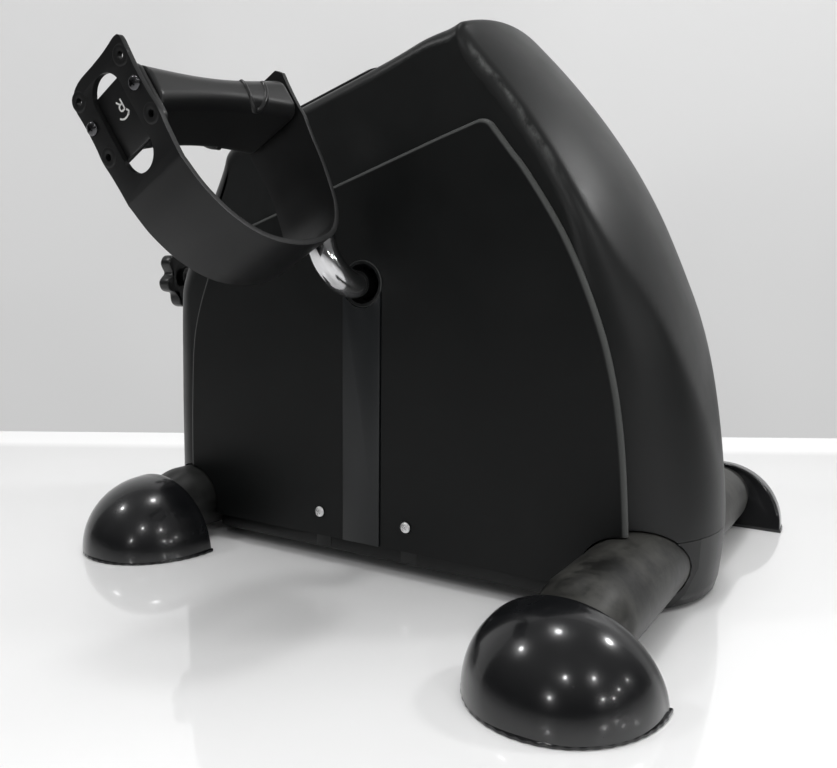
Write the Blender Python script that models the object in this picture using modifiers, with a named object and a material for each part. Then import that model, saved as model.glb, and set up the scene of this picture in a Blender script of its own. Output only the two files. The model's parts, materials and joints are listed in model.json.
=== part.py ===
"""Under desk pedal exerciser, as an assembly of separate pieces.

Metres, +Z up. The floor is z = 0 and the origin is the middle of the footprint.
-X is the user's side with the tension knob, +X the far side, -Y the user's right.
"""
import math

import bmesh
import bpy
import numpy as np
from mathutils import Matrix, Vector

# General
GAP = 0.0003              # clearance between pieces that touch
SIDES = 24                # sides of a round piece
FINE_SIDES = 12           # sides of a small round piece

# Legs and foot caps
LEG_X = 0.1368            # leg centre line, in front of and behind the middle
LEG_HALF_WIDTH = 0.0210   # oval leg tube, along X
LEG_HALF_HEIGHT = 0.0195  # oval leg tube, along Z
LEG_WALL = 0.0016
LEG_END_HALF_WIDTH = 0.0188    # the leg's narrowed end inside a cap
LEG_END_HALF_HEIGHT = 0.0172
LEG_NECK = 0.0140         # length over which a leg narrows before its cap
CAP_SOLE = 0.0022         # cap floor under the leg tube
CAP_COVER = 0.0020        # cap wall over the leg tube
REAR_CAP_BACK = 0.1318    # inner face of a rear foot cap, from the middle
FRONT_CAP_BACK = 0.0895   # inner face of a front foot cap, from the middle
CAP_HALF_WIDTH = 0.0402
CAP_RIM = 0.0032          # straight rim before the dome
CAP_DOME = 0.0450         # depth of the dome
CAP_RAKE = 0.0090         # how far the open end leans outwards at its top
CAP_WALL = 0.0025
LEG_INSERT = 0.0140       # how far a leg reaches into its cap
CAP_STEPS = 12            # sides of the cap's arch

# Housing shell
HOUSING_HALF_WIDTH = 0.0645
HOUSING_WALL = 0.0025
SHELL_BOTTOM = 0.0148     # lower edge between the legs
SEAM_Z = 0.0350           # lower edge beyond the legs
PANEL_RAISE = 0.0031      # how far a side panel stands out of the side
PANEL_PLANE = HOUSING_HALF_WIDTH + PANEL_RAISE
PANEL_BEVEL = 0.0028
SLOT_FLANGE_Y = HOUSING_HALF_WIDTH - HOUSING_WALL
CREST = (0.0466, 0.2926)  # where the rise and the back would meet without rounding
CREST_ROUND = 0.0040      # how far from there the rounding starts
CONSOLE_FRONT = (-0.1060, 0.2365)
CONSOLE_BACK = (-0.0050, 0.2675)

# Crank and drive
HUB_X = -0.0078
HUB_Z = 0.1547
ROD_RADIUS = 0.0075
ARM_LENGTH = 0.0852       # hub axis to pedal axle along the arm
ARM_ANGLE = 105.7         # right arm from +X towards +Z, degrees
ARM_PLANE = 0.0945        # arm centre line, from the middle
BEND_RADIUS = 0.0200
AXLE_DROOP = 8.0          # degrees that a pedal axle leans towards the hub
AXLE_RADIUS = 0.0050
SLOT_HALF_WIDTH = 0.0125
BUSH_HOLE = 0.0086
CRANK_TUBE_RADIUS = 0.0190
CRANK_TUBE_WALL = 0.0030
CRANK_TUBE_HALF = 0.0340
BEARING_WIDTH = 0.0090
DRIVE_PULLEY_RADIUS = 0.0450
DRIVE_PULLEY_Y = 0.0400
PULLEY_WIDTH = 0.0080
BELT_THICKNESS = 0.0016
BELT_WIDTH = 0.0060
FLYWHEEL_X = 0.0750
FLYWHEEL_Z = 0.1180
FLYWHEEL_RADIUS = 0.0450
FLYWHEEL_HALF = 0.0090
FLYWHEEL_SHAFT_RADIUS = 0.0050
SMALL_PULLEY_RADIUS = 0.0150
FORK_INNER = 0.0145
FORK_THICKNESS = 0.0040
FORK_BEARING_RADIUS = 0.0080

# Welded frame
RAIL_HALF_WIDTH = 0.0200
RAIL_HEIGHT = 0.0200
RAIL_WALL = 0.0018
POST_HALF_X = 0.0120
POST_HALF_Y = 0.0120

# Brake and tension screw
SCREW_Z = 0.1580
SCREW_RADIUS = 0.0030
KNOB_FACE_X = -0.2135     # outer face of the knob
KNOB_THICKNESS = 0.0100
KNOB_RADIUS = 0.0210
KNOB_LOBES = 7
KNOB_LOBE_DEPTH = 0.0026
COLLAR_OUT_X = -0.1780    # outer end of the collar
COLLAR_RADIUS = 0.0110
LEVER_X = -0.0565         # front face of the brake arm's upright lug
LEVER_THICKNESS = 0.0030
COLLAR_IN_X = -0.1510     # inner end of the collar's neck
PIVOT_Z = 0.1960
PIVOT_RADIUS = 0.0030
ARM_HALF_WIDTH = 0.0085
MAGNET_GAP = 0.0103       # air between the magnet and the flywheel at rest

# Display
PLATE_THICKNESS = 0.0018
PLATE_HALF_WIDTH = 0.0525
DISPLAY_DEPTH = 0.0150
DISPLAY_WALL = 0.0020

# Pedals, in the pedal's own frame: u outwards, d towards the strap, l across
PEDAL_START = 0.0237      # arm centre line to the pedal's inner end
PEDAL_LENGTH = 0.0840
PEDAL_HALF_WIDTH = 0.0190
PEDAL_WAIST = 0.0176      # half width in the middle of the pedal
PEDAL_BACK = 0.0085       # axle to the pedal's back
TREAD_END = 0.0115        # axle to the tread at its ends
TREAD_MID = 0.0082        # axle to the tread in the middle
PEDAL_TURN = -61.0        # direction of d from +X towards +Z, degrees
END_PLATE = 0.0025
STRAP_THICKNESS = 0.0025
STRAP_HALF_WIDTH = 0.0195  # of the strip before its outline is cut


def clear_scene():
    for item in list(bpy.data.objects):
        bpy.data.objects.remove(item, do_unlink=True)


clear_scene()
PARTS = bpy.data.collections.new("pedal_exerciser")
TOOLS = bpy.data.collections.new("cutters")
bpy.context.scene.collection.children.link(PARTS)
bpy.context.scene.collection.children.link(TOOLS)


# Materials

def material(name, colour, roughness, metallic=0.0):
    made = bpy.data.materials.new(name)
    made.use_nodes = True
    shader = made.node_tree.nodes["Principled BSDF"]
    shader.inputs["Base Color"].default_value = (*colour, 1.0)
    shader.inputs["Roughness"].default_value = roughness
    shader.inputs["Metallic"].default_value = metallic
    made.diffuse_color = (*colour, 1.0)
    return made


HOUSING_BLACK = material("housing_black", (0.022, 0.023, 0.024), 0.45)
GLOSS_BLACK = material("gloss_black", (0.010, 0.010, 0.011), 0.12)
SATIN_BLACK = material("satin_black", (0.016, 0.016, 0.017), 0.35)
LEG_PAINT = material("leg_paint", (0.035, 0.036, 0.034), 0.50, 0.2)
FRAME_PAINT = material("frame_paint", (0.030, 0.030, 0.032), 0.45, 0.2)
CHROME = material("chrome", (0.80, 0.80, 0.82), 0.08, 1.0)
ZINC = material("zinc", (0.60, 0.61, 0.62), 0.30, 1.0)
STEEL = material("steel", (0.45, 0.46, 0.48), 0.35, 1.0)
IRON = material("cast_iron", (0.18, 0.18, 0.19), 0.55, 1.0)
RUBBER = material("rubber", (0.018, 0.018, 0.018), 0.70)
STRAP_BLACK = material("strap_black", (0.020, 0.020, 0.021), 0.42)
LENS = material("lens", (0.060, 0.065, 0.062), 0.10)
BUTTON_GREY = material("button_grey", (0.25, 0.26, 0.27), 0.45)
NYLON = material("nylon", (0.75, 0.74, 0.70), 0.50)
MAGNET = material("magnet", (0.22, 0.22, 0.24), 0.40, 0.8)


# Modelling helpers

LOFTED = ("housing_shell", "tension_knob")   # the exact solver loses pieces of these


def add_object(name, mesh, paint=None):
    """Link a mesh as a part, or as a cutter when it has no paint."""
    item = bpy.data.objects.new(name, mesh)
    if paint is None:
        TOOLS.objects.link(item)
        item.hide_render = True
        item.display_type = "WIRE"
    else:
        PARTS.objects.link(item)
        mesh.materials.append(paint)
    return item


def from_bmesh(name, shape, paint=None):
    mesh = bpy.data.meshes.new(name)
    bmesh.ops.recalc_face_normals(shape, faces=shape.faces)
    shape.to_mesh(mesh)
    shape.free()
    return add_object(name, mesh, paint)


def smooth(item, degrees=35.0):
    item.data.shade_smooth()
    item.data.set_sharp_from_angle(angle=math.radians(degrees))
    return item


def block(name, x, y, z, paint=None):
    """A box between two values on each axis."""
    shape = bmesh.new()
    bmesh.ops.create_cube(shape, size=1.0)
    bmesh.ops.scale(shape, vec=(x[1] - x[0], y[1] - y[0], z[1] - z[0]), verts=shape.verts)
    middle = ((x[0] + x[1]) / 2, (y[0] + y[1]) / 2, (z[0] + z[1]) / 2)
    bmesh.ops.translate(shape, vec=middle, verts=shape.verts)
    return from_bmesh(name, shape, paint)


def rod(name, start, end, radius, paint=None, end_radius=None, sides=SIDES, oval=None):
    """A round or oval bar between two points."""
    start = Vector(start)
    end = Vector(end)
    shape = bmesh.new()
    far_radius = radius if end_radius is None else end_radius
    bmesh.ops.create_cone(shape, cap_ends=True, segments=sides, radius1=radius,
                          radius2=far_radius, depth=(end - start).length)
    if oval is not None:
        bmesh.ops.scale(shape, vec=(oval[0] / radius, oval[1] / radius, 1.0), verts=shape.verts)
    turn = (end - start).to_track_quat("Z", "Y")
    place = Matrix.Translation((start + end) / 2) @ turn.to_matrix().to_4x4()
    bmesh.ops.transform(shape, matrix=place, verts=shape.verts)
    return smooth(from_bmesh(name, shape, paint))


def loft(name, rings, paint=None):
    """A skin through rings of equal point count, with flat ends."""
    shape = bmesh.new()
    rows = []
    for ring in rings:
        rows.append([shape.verts.new(point) for point in ring])
    count = len(rows[0])
    for near, far in zip(rows, rows[1:]):
        for index in range(count):
            after = (index + 1) % count
            shape.faces.new((near[index], near[after], far[after], far[index]))
    shape.faces.new(rows[0])
    shape.faces.new(rows[-1])
    bmesh.ops.triangulate(shape, faces=shape.faces)
    return from_bmesh(name, shape, paint)


def prism(name, outline, plane, low, high, paint=None):
    """A flat outline extruded along the axis that its plane leaves out."""
    curve = bpy.data.curves.new(name + "_outline", "CURVE")
    curve.dimensions = "2D"
    curve.fill_mode = "BOTH"
    curve.extrude = abs(high - low) / 2
    spline = curve.splines.new("POLY")
    spline.points.add(len(outline) - 1)
    for point, (first, second) in zip(spline.points, outline):
        point.co = (first, second, 0.0, 1.0)
    spline.use_cyclic_u = True
    middle = (low + high) / 2
    places = {
        "XY": Matrix.Translation((0.0, 0.0, middle)),
        "XZ": Matrix.Translation((0.0, middle, 0.0)) @ Matrix.Rotation(math.pi / 2, 4, "X"),
        "YZ": Matrix.Translation((middle, 0.0, 0.0)) @ Matrix(((0, 0, 1, 0), (1, 0, 0, 0),
                                                               (0, 1, 0, 0), (0, 0, 0, 1))),
    }
    return from_curve(name, curve, places[plane], paint)


def from_curve(name, curve, place, paint=None):
    """Turn a curve into a closed mesh object."""
    guide = bpy.data.objects.new(name + "_curve", curve)
    TOOLS.objects.link(guide)
    guide.matrix_world = place
    bpy.context.view_layer.update()
    graph = bpy.context.evaluated_depsgraph_get()
    mesh = bpy.data.meshes.new_from_object(guide.evaluated_get(graph))
    mesh.name = name
    mesh.transform(place)
    shape = bmesh.new()
    shape.from_mesh(mesh)
    bmesh.ops.remove_doubles(shape, verts=shape.verts, dist=0.00001)
    bmesh.ops.recalc_face_normals(shape, faces=shape.faces)
    shape.to_mesh(mesh)
    shape.free()
    bpy.data.objects.remove(guide, do_unlink=True)
    return add_object(name, mesh, paint)


def bent_rod(name, points, radius, paint=None, radii=None, resolution=4):
    """A round bar that follows points, each with its own radius if given."""
    curve = bpy.data.curves.new(name + "_path", "CURVE")
    curve.dimensions = "3D"
    curve.bevel_depth = radius
    curve.bevel_resolution = resolution
    curve.use_fill_caps = True
    spline = curve.splines.new("POLY")
    spline.points.add(len(points) - 1)
    for index, point in enumerate(points):
        spline.points[index].co = (*point, 1.0)
        if radii is not None:
            spline.points[index].radius = radii[index] / radius
    return smooth(from_curve(name, curve, Matrix.Identity(4), paint), 50.0)


def turned(name, profile, start, direction, paint=None, steps=SIDES):
    """A profile of (radius, distance) pairs turned about an axis."""
    curve_mesh = bpy.data.meshes.new(name)
    points = [(radius, 0.0, distance) for radius, distance in profile]
    edges = [(index, index + 1) for index in range(len(points) - 1)]
    if profile[0][0] > 0.0:
        edges.append((len(points) - 1, 0))
    curve_mesh.from_pydata(points, edges, [])
    item = add_object(name, curve_mesh, paint)
    screw = item.modifiers.new("turn", "SCREW")
    screw.steps = steps
    screw.render_steps = steps
    screw.use_merge_vertices = True
    screw.merge_threshold = 0.00001
    turn = Vector(direction).to_track_quat("Z", "Y")
    item.matrix_world = Matrix.Translation(start) @ turn.to_matrix().to_4x4()
    return item


def boolean(item, tool, operation):
    change = item.modifiers.new(tool.name, "BOOLEAN")
    change.operation = operation
    change.object = tool
    change.solver = "MANIFOLD" if item.name in LOFTED else "EXACT"
    return item


def cut(item, *tools):
    for tool in tools:
        boolean(item, tool, "DIFFERENCE")
    return item


def join(item, *tools):
    for tool in tools:
        boolean(item, tool, "UNION")
    return item


def bevel(item, width, segments=2, angle=40.0):
    change = item.modifiers.new("rounded", "BEVEL")
    change.width = width
    change.segments = segments
    change.limit_method = "ANGLE"
    change.angle_limit = math.radians(angle)
    return item


def pivot(item, point):
    """Move an object's origin to its joint's axis and leave its shape where it is."""
    shift = Matrix.Translation(-Vector(point))
    item.data.transform(shift @ item.matrix_world)
    item.matrix_world = Matrix.Translation(point)
    return item


def polar(radius, degrees, centre=(0.0, 0.0)):
    angle = math.radians(degrees)
    return (centre[0] + radius * math.cos(angle), centre[1] + radius * math.sin(angle))


def arc(centre, radius, start, end, count):
    """Points on an arc, angles in degrees."""
    return [polar(radius, start + (end - start) * step / count, centre) for step in range(count + 1)]


def spline_through(points, steps):
    """A smooth line through points."""
    data = np.array(points, float)
    ends = np.vstack([2 * data[0] - data[1], data, 2 * data[-1] - data[-2]])
    line = []
    for index in range(1, len(ends) - 2):
        before, first, second, after = ends[index - 1:index + 3]
        for step in range(steps):
            t = step / steps
            line.append(0.5 * (2 * first + (second - before) * t
                               + (2 * before - 5 * first + 4 * second - after) * t * t
                               + (3 * first - before - 3 * second + after) * t ** 3))
    line.append(data[-1])
    return np.array(line)


def bezier(p0, p1, p2, p3, steps):
    t = np.linspace(0.0, 1.0, steps + 1)[:, None]
    p0, p1, p2, p3 = (np.array(point, float) for point in (p0, p1, p2, p3))
    return (1 - t) ** 3 * p0 + 3 * (1 - t) ** 2 * t * p1 + 3 * (1 - t) * t * t * p2 + t ** 3 * p3


def ease(value):
    value = np.clip(value, 0.0, 1.0)
    return value * value * (3 - 2 * value)


def inset_outline(outline, distance):
    """An outline that runs anticlockwise, moved inwards."""
    data = np.array(outline, float)
    back = data - np.roll(data, 1, axis=0)
    ahead = np.roll(data, -1, axis=0) - data
    back /= np.linalg.norm(back, axis=1)[:, None]
    ahead /= np.linalg.norm(ahead, axis=1)[:, None]
    normal = np.stack([-(back[:, 1] + ahead[:, 1]), back[:, 0] + ahead[:, 0]], axis=1)
    normal /= np.linalg.norm(normal, axis=1)[:, None]
    spread = np.clip(normal[:, 0] * -ahead[:, 1] + normal[:, 1] * ahead[:, 0], 0.5, 1.0)
    return [tuple(point) for point in data + normal * (distance / spread)[:, None]]


# Housing outlines, in the X-Z plane

FRONT_LINE = ((-0.1715, SHELL_BOTTOM), (-0.1720, SEAM_Z), (-0.1710, 0.1060), (-0.1660, 0.1450),
              (-0.1580, 0.1660), (-0.1306, 0.2060), (-0.1160, 0.2292))
FRONT_CORNER = (-0.1128, 0.2343)
RISE_LINE = (CONSOLE_BACK, (0.0158, 0.2738), (0.0330, 0.2828))
BACK_MIDDLE = (0.1231, 0.1937)
BACK_SLOPE = 63.2         # degrees below +X at the back's middle
BACK_BOTTOM_X = 0.1661
FRONT_EDGE = 0.0110       # corner radius along the front
CONSOLE_EDGE = 0.0070     # corner radius along the console
FRONT_BULGE = 0.0235      # how far the middle stands in front of the sides, low down
BULGE_X = (-0.0050, 0.0220, 0.0350, 0.0480)   # places along the top with their bulge
BULGE = (0.0030, 0.0010, 0.0070, 0.0151)
BACK_EDGE_TOP = 0.0045    # corner radius high on the back
BACK_EDGE_LOW = 0.0640    # the same low on the back, almost a half round
BACK_EDGE_RANGE = (0.2082, 0.0500)   # heights between which the corner grows
NORMAL_SPREAD = 0.0120    # length over which the inset direction turns
EDGE_SPREAD = 0.0060      # length over which the edge rounding changes
HULL_RINGS = 12           # sections across the housing
INNER_RINGS = 8           # the same for its inner face


def unit(vector):
    return vector / np.linalg.norm(vector)


def hull_line():
    """Centre line from the front's lower edge over the top to the back's lower edge."""
    slope = math.radians(BACK_SLOPE)
    downhill = np.array((math.cos(slope), -math.sin(slope)))
    middle = np.array(BACK_MIDDLE)
    front = spline_through(FRONT_LINE, 2)
    corner = bezier(FRONT_LINE[-1], FRONT_CORNER, FRONT_CORNER, CONSOLE_FRONT, 4)
    console = np.linspace(CONSOLE_FRONT, CONSOLE_BACK, 3)
    crest = np.array(CREST)
    uphill = middle - 0.0576 * downhill
    rise_end = crest - CREST_ROUND * unit(crest - np.array(RISE_LINE[-1]))
    back_start = crest + CREST_ROUND * unit(uphill - crest)
    rise = spline_through(RISE_LINE + (tuple(rise_end),), 2)
    top = bezier(rise_end, rise_end + 0.7 * (crest - rise_end),
                 back_start + 0.7 * (crest - back_start), back_start, 3)
    back = bezier(back_start, 2 * back_start - crest, uphill, middle, 5)
    tail = bezier(middle, middle + 0.0400 * downhill, (BACK_BOTTOM_X, SEAM_Z + 0.0464),
                  (BACK_BOTTOM_X, SEAM_Z), 6)
    line = [front, corner[1:], console[1:], rise[1:], top[1:], back[1:], tail[1:],
            np.array([(BACK_BOTTOM_X, SHELL_BOTTOM)])]
    return np.vstack(line), len(front) + 3


def hull_shape():
    """Centre line with its inset direction and the size of its edge rounding."""
    line, front_end = hull_line()
    height = line[:, 1]
    front_share = ease((height - 0.10) / 0.13)
    depth = np.full(len(line), CONSOLE_EDGE)
    width = np.full(len(line), CONSOLE_EDGE)
    bulge = np.interp(line[:, 0], BULGE_X, BULGE)
    crest_at = int(np.argmax(height))
    depth[:front_end] = FRONT_EDGE
    width[:front_end] = FRONT_EDGE
    bulge[:front_end] = FRONT_BULGE + (0.008 - FRONT_BULGE) * front_share[:front_end]
    back = slice(crest_at + 1, len(line))
    high, low = BACK_EDGE_RANGE
    share = ease((high - height[back]) / (high - low))
    depth[back] = BACK_EDGE_TOP + (BACK_EDGE_LOW - BACK_EDGE_TOP) * share
    width[back] = BACK_EDGE_TOP + (HOUSING_HALF_WIDTH - BACK_EDGE_TOP) * share
    bulge[back] *= 1 - share
    along = np.concatenate([[0.0], np.cumsum(np.linalg.norm(np.diff(line, axis=0), axis=1))])
    tangent = np.gradient(line, along, axis=0)
    normal = np.stack([-tangent[:, 1], tangent[:, 0]], axis=1)
    spacing = np.gradient(along)
    spread = np.exp(-0.5 * ((along[:, None] - along[None, :]) / NORMAL_SPREAD) ** 2) * spacing
    normal = spread @ normal
    normal[0] = (-1.0, 0.0)
    normal[-1] = (1.0, 0.0)
    normal /= np.linalg.norm(normal, axis=1)[:, None]
    spread = np.exp(-0.5 * ((along[:, None] - along[None, :]) / EDGE_SPREAD) ** 2) * spacing
    spread /= spread.sum(axis=1)[:, None]
    return line, normal, spread @ depth, spread @ width, spread @ bulge


def hull_rings(inset, bottom, count):
    line, normal, depth, width, bulge = hull_shape()
    rings = []
    for index in range(count + 1):
        share = math.sin(-math.pi / 2 + math.pi * index / count)
        reach = np.clip(1 - HOUSING_HALF_WIDTH * (1 - abs(share)) / width, 0.0, 1.0)
        drop = bulge * share ** 2 + depth * (1 - np.sqrt(1 - reach ** 2))
        ring = line - normal * (drop + inset)[:, None]
        ring[0, 1] = bottom
        ring[-1, 1] = bottom
        y = share * (HOUSING_HALF_WIDTH - inset)
        rings.append([(x, y, z) for x, z in ring])
    return rings


def panel_outline():
    """Outline of the raised side panel, anticlockwise from its lower front corner."""
    back = spline_through(((0.1380, SHELL_BOTTOM), (0.1376, 0.0425), (0.1337, 0.0870),
                           (0.1273, 0.1202), (0.1175, 0.1488), (0.1035, 0.1783),
                           (0.0855, 0.2058), (0.0751, 0.2187)), 2)
    apex = bezier((0.0661, 0.2299), (0.0640, 0.2325), (0.0605, 0.2336), (0.0573, 0.2328), 4)
    rim = [(0.0378, 0.2270)]
    corner = bezier((-0.0960, 0.1840), (-0.1105, 0.1794), (-0.1130, 0.1770), (-0.1187, 0.1613), 5)
    front = spline_through(((-0.1187, 0.1613), (-0.1279, 0.1385), (-0.1331, 0.1168),
                            (-0.1353, 0.0834), (-0.1361, 0.0578), (-0.1366, SHELL_BOTTOM)), 2)
    line = np.vstack([back, apex, rim, corner, front[1:]])
    return [tuple(point) for point in line]


CONSOLE_SLOPE = math.atan2(CONSOLE_BACK[1] - CONSOLE_FRONT[1], CONSOLE_BACK[0] - CONSOLE_FRONT[0])
CONSOLE_LENGTH = math.dist(CONSOLE_FRONT, CONSOLE_BACK)
CONSOLE = (Matrix.Translation(((CONSOLE_FRONT[0] + CONSOLE_BACK[0]) / 2, 0.0,
                               (CONSOLE_FRONT[1] + CONSOLE_BACK[1]) / 2))
           @ Matrix.Rotation(-CONSOLE_SLOPE, 4, "Y"))


def on_console(item):
    """Place an object that was modelled flat on the sloping console."""
    item.data.transform(CONSOLE)
    return item


# Foot legs and caps

LEG_Z = CAP_SOLE + GAP + LEG_HALF_HEIGHT
LEG_END_Z = CAP_SOLE + GAP + LEG_END_HALF_HEIGHT
CAP_HEIGHT = LEG_END_Z + LEG_END_HALF_HEIGHT + GAP + CAP_COVER
LEG_TOP = LEG_Z + LEG_HALF_HEIGHT
LEGS = (("front", -LEG_X, FRONT_CAP_BACK), ("rear", LEG_X, REAR_CAP_BACK))


def leg_bar(name, x, reach, margin, paint=None):
    oval = (LEG_HALF_WIDTH + margin, LEG_HALF_HEIGHT + margin)
    return rod(name, (x, -reach, LEG_Z), (x, reach, LEG_Z), LEG_HALF_WIDTH, paint, oval=oval)


def necked_bar(name, x, back, reach, margin, paint=None):
    """The leg's oval bar with its narrowed ends."""
    rings = []
    for y, share in ((-reach, 1.0), (-back, 1.0), (LEG_NECK - back, 0.0),
                     (back - LEG_NECK, 0.0), (back, 1.0), (reach, 1.0)):
        wide = LEG_HALF_WIDTH + (LEG_END_HALF_WIDTH - LEG_HALF_WIDTH) * share + margin
        tall = LEG_HALF_HEIGHT + (LEG_END_HALF_HEIGHT - LEG_HALF_HEIGHT) * share + margin
        middle = LEG_Z + (LEG_END_Z - LEG_Z) * share
        ring = []
        for step in range(SIDES):
            angle = 2 * math.pi * step / SIDES
            ring.append((x + wide * math.cos(angle), y, middle + tall * math.sin(angle)))
        rings.append(ring)
    return loft(name, rings, paint)


def make_legs():
    for end, x, back in LEGS:
        reach = back + LEG_INSERT
        leg = smooth(necked_bar(end + "_foot_tube", x, back, reach, 0.0, LEG_PAINT))
        cut(leg, necked_bar(end + "_leg_bore", x, back, reach + 0.01, -LEG_WALL))
        cut(leg, rod(end + "_leg_bolt_hole", (x, 0, LEG_Z), (x, 0, LEG_TOP + 0.01), 0.0045))


def cap_rings(x, side, back, half_width, height, floor, rim, dome, steps):
    """Rings of a dome that is flat underneath, from its open end to its tip."""
    places = [(0.0, 1.0), (rim, 1.0)]
    for step in range(1, steps + 1):
        angle = math.radians(88.0) * step / steps
        places.append((rim + dome * math.sin(angle), math.cos(angle)))
    rings = []
    for depth, share in places:
        ring = []
        for step in range(CAP_STEPS + 1):
            angle = math.pi * step / CAP_STEPS
            across = half_width * share * math.cos(angle)
            up = floor + (height - floor) * share * math.sin(angle)
            lean = CAP_RAKE * up / CAP_HEIGHT * (1 - depth / (rim + dome))
            ring.append((x + across, side * (back + depth + lean), up))
        rings.append(ring)
    return rings


def make_caps():
    for end, x, back in LEGS:
        for side, hand in ((-1, "right"), (1, "left")):
            name = end + "_foot_cap_" + hand
            cap = loft(name, cap_rings(x, side, back, CAP_HALF_WIDTH, CAP_HEIGHT, 0.0,
                                       CAP_RIM, CAP_DOME, 5), GLOSS_BLACK)
            inner = loft(name + "_inside",
                         cap_rings(x, side, back + CAP_WALL, CAP_HALF_WIDTH - CAP_WALL,
                                   CAP_HEIGHT - CAP_WALL, CAP_SOLE, CAP_RIM,
                                   CAP_DOME - 2 * CAP_WALL, 4))
            oval = (LEG_END_HALF_WIDTH + GAP, LEG_END_HALF_HEIGHT + GAP)
            socket = rod(name + "_socket", (x, side * (back - 0.01), LEG_END_Z),
                         (x, side * (back + LEG_INSERT + GAP), LEG_END_Z), LEG_END_HALF_WIDTH,
                         oval=oval)
            smooth(cap)
            cut(cap, inner, socket)


# Housing

def slot_outline(half_width, low):
    """A straight slot with a round top at the hub."""
    return [(HUB_X - half_width, low), (HUB_X + half_width, low)] + arc((HUB_X, HUB_Z), half_width,
                                                                       0, 180, 12)


SCREW_SPREAD = 0.0282
HOUSING_SCREW_Z = 0.0281
HOUSING_SCREW_RADIUS = 0.0015


def make_housing():
    shell = loft("housing_shell", hull_rings(0.0, 0.004, HULL_RINGS), HOUSING_BLACK)
    outline = panel_outline()
    inner_outline = inset_outline(outline, HOUSING_WALL)
    for line, low in ((outline, 0.002), (inner_outline, -0.002)):
        line[0] = (line[0][0], low)
        line[-1] = (line[-1][0], low)
    panel = prism("panel_body", outline, "XZ", -PANEL_PLANE, PANEL_PLANE)
    bevel(panel, PANEL_BEVEL, 2)
    inner_panel = prism("panel_inside", inner_outline, "XZ", HOUSING_WALL - PANEL_PLANE,
                        PANEL_PLANE - HOUSING_WALL)
    inner = loft("hull_inside", hull_rings(HOUSING_WALL, 0.0, INNER_RINGS))
    join(shell, panel)
    cut(shell, inner, inner_panel)
    cut(shell, block("shell_trim", (-0.3, 0.3), (-0.1, 0.1), (-0.01, SHELL_BOTTOM)))
    for end, x, back in LEGS:
        side = math.copysign(1.0, x)
        beyond = sorted((x, x + side * 0.06))
        cut(shell, leg_bar(end + "_leg_way", x, 0.1, 3 * GAP))
        cut(shell, block(end + "_seam", beyond, (-0.1, 0.1), (0.0, SEAM_Z)))
    cut(shell, prism("crank_slot", slot_outline(SLOT_HALF_WIDTH, 0.0), "XZ", -0.09, 0.09))
    cut(shell, on_console(block("display_opening", (-0.0405, 0.0405), (-0.0445, 0.0445),
                                (-0.02, 0.02))))
    cut(shell, rod("collar_hole", (-0.2, 0, SCREW_Z), (-0.14, 0, SCREW_Z),
                   COLLAR_RADIUS - 0.003 + GAP, sides=FINE_SIDES))
    for away in (-SCREW_SPREAD, SCREW_SPREAD):
        x = HUB_X + away
        cut(shell, rod("shell_screw_hole", (x, -0.09, HOUSING_SCREW_Z), (x, 0.09, HOUSING_SCREW_Z),
                       HOUSING_SCREW_RADIUS + GAP, sides=FINE_SIDES))
    return shell


def make_slot_covers():
    for side, hand in ((-1, "right"), (1, "left")):
        strip_y = sorted((side * (HOUSING_HALF_WIDTH - 0.0005), side * (PANEL_PLANE - 0.0004)))
        flange_y = sorted((side * SLOT_FLANGE_Y, side * (PANEL_PLANE - HOUSING_WALL - GAP)))
        strip = block("slot_cover_" + hand, (HUB_X - SLOT_HALF_WIDTH + GAP,
                                             HUB_X + SLOT_HALF_WIDTH - GAP),
                      strip_y, (SHELL_BOTTOM, HUB_Z), HOUSING_BLACK)
        flange = block("slot_flange_" + hand, (HUB_X - 0.0165, HUB_X + 0.0165), flange_y,
                       (SHELL_BOTTOM + 0.001, HUB_Z - 0.004))
        join(strip, flange)
        cut(strip, rod("bush_way_" + hand, (HUB_X, side * (SLOT_FLANGE_Y - 0.01), HUB_Z),
                       (HUB_X, side * (PANEL_PLANE + 0.01), HUB_Z), SLOT_HALF_WIDTH - GAP + 0.0005))


def make_bushes():
    for side, hand in ((-1, "right"), (1, "left")):
        outer = SLOT_HALF_WIDTH - GAP
        front = PANEL_PLANE + 0.0012
        rear = SLOT_FLANGE_Y - 0.0005
        profile = [(outer, front - 0.0008), (outer, rear), (BUSH_HOLE, rear), (BUSH_HOLE, front),
                   (outer - 0.0008, front)]
        bush = turned("crank_bush_" + hand, profile, (HUB_X, 0.0, HUB_Z), (0, side, 0), SATIN_BLACK)
        smooth(bush)


def make_housing_screws():
    for side, hand in ((-1, "right"), (1, "left")):
        for away, end in ((-SCREW_SPREAD, "front"), (SCREW_SPREAD, "rear")):
            top = PANEL_PLANE + GAP
            tip = SLOT_FLANGE_Y - 0.0030
            profile = [(0.0, top + 0.0013), (0.0016, top + 0.0012), (0.0028, top + 0.0006),
                       (0.0030, top), (HOUSING_SCREW_RADIUS, top), (HOUSING_SCREW_RADIUS, tip),
                       (0.0, tip - 0.0015)]
            screw = turned("housing_screw_%s_%s" % (hand, end), profile,
                           (HUB_X + away, 0.0, HOUSING_SCREW_Z), (0, side, 0), ZINC, FINE_SIDES)
            smooth(screw)
            for turn, along in enumerate(((0.0021, 0.0004), (0.0004, 0.0021))):
                middle = (HUB_X + away, HOUSING_SCREW_Z)
                y = sorted((side * (top + 0.0007), side * (top + 0.003)))
                cut(screw, block("cross_%s_%s_%d" % (hand, end, turn),
                                 (middle[0] - along[0], middle[0] + along[0]), y,
                                 (middle[1] - along[1], middle[1] + along[1])))


# Base covers

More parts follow.
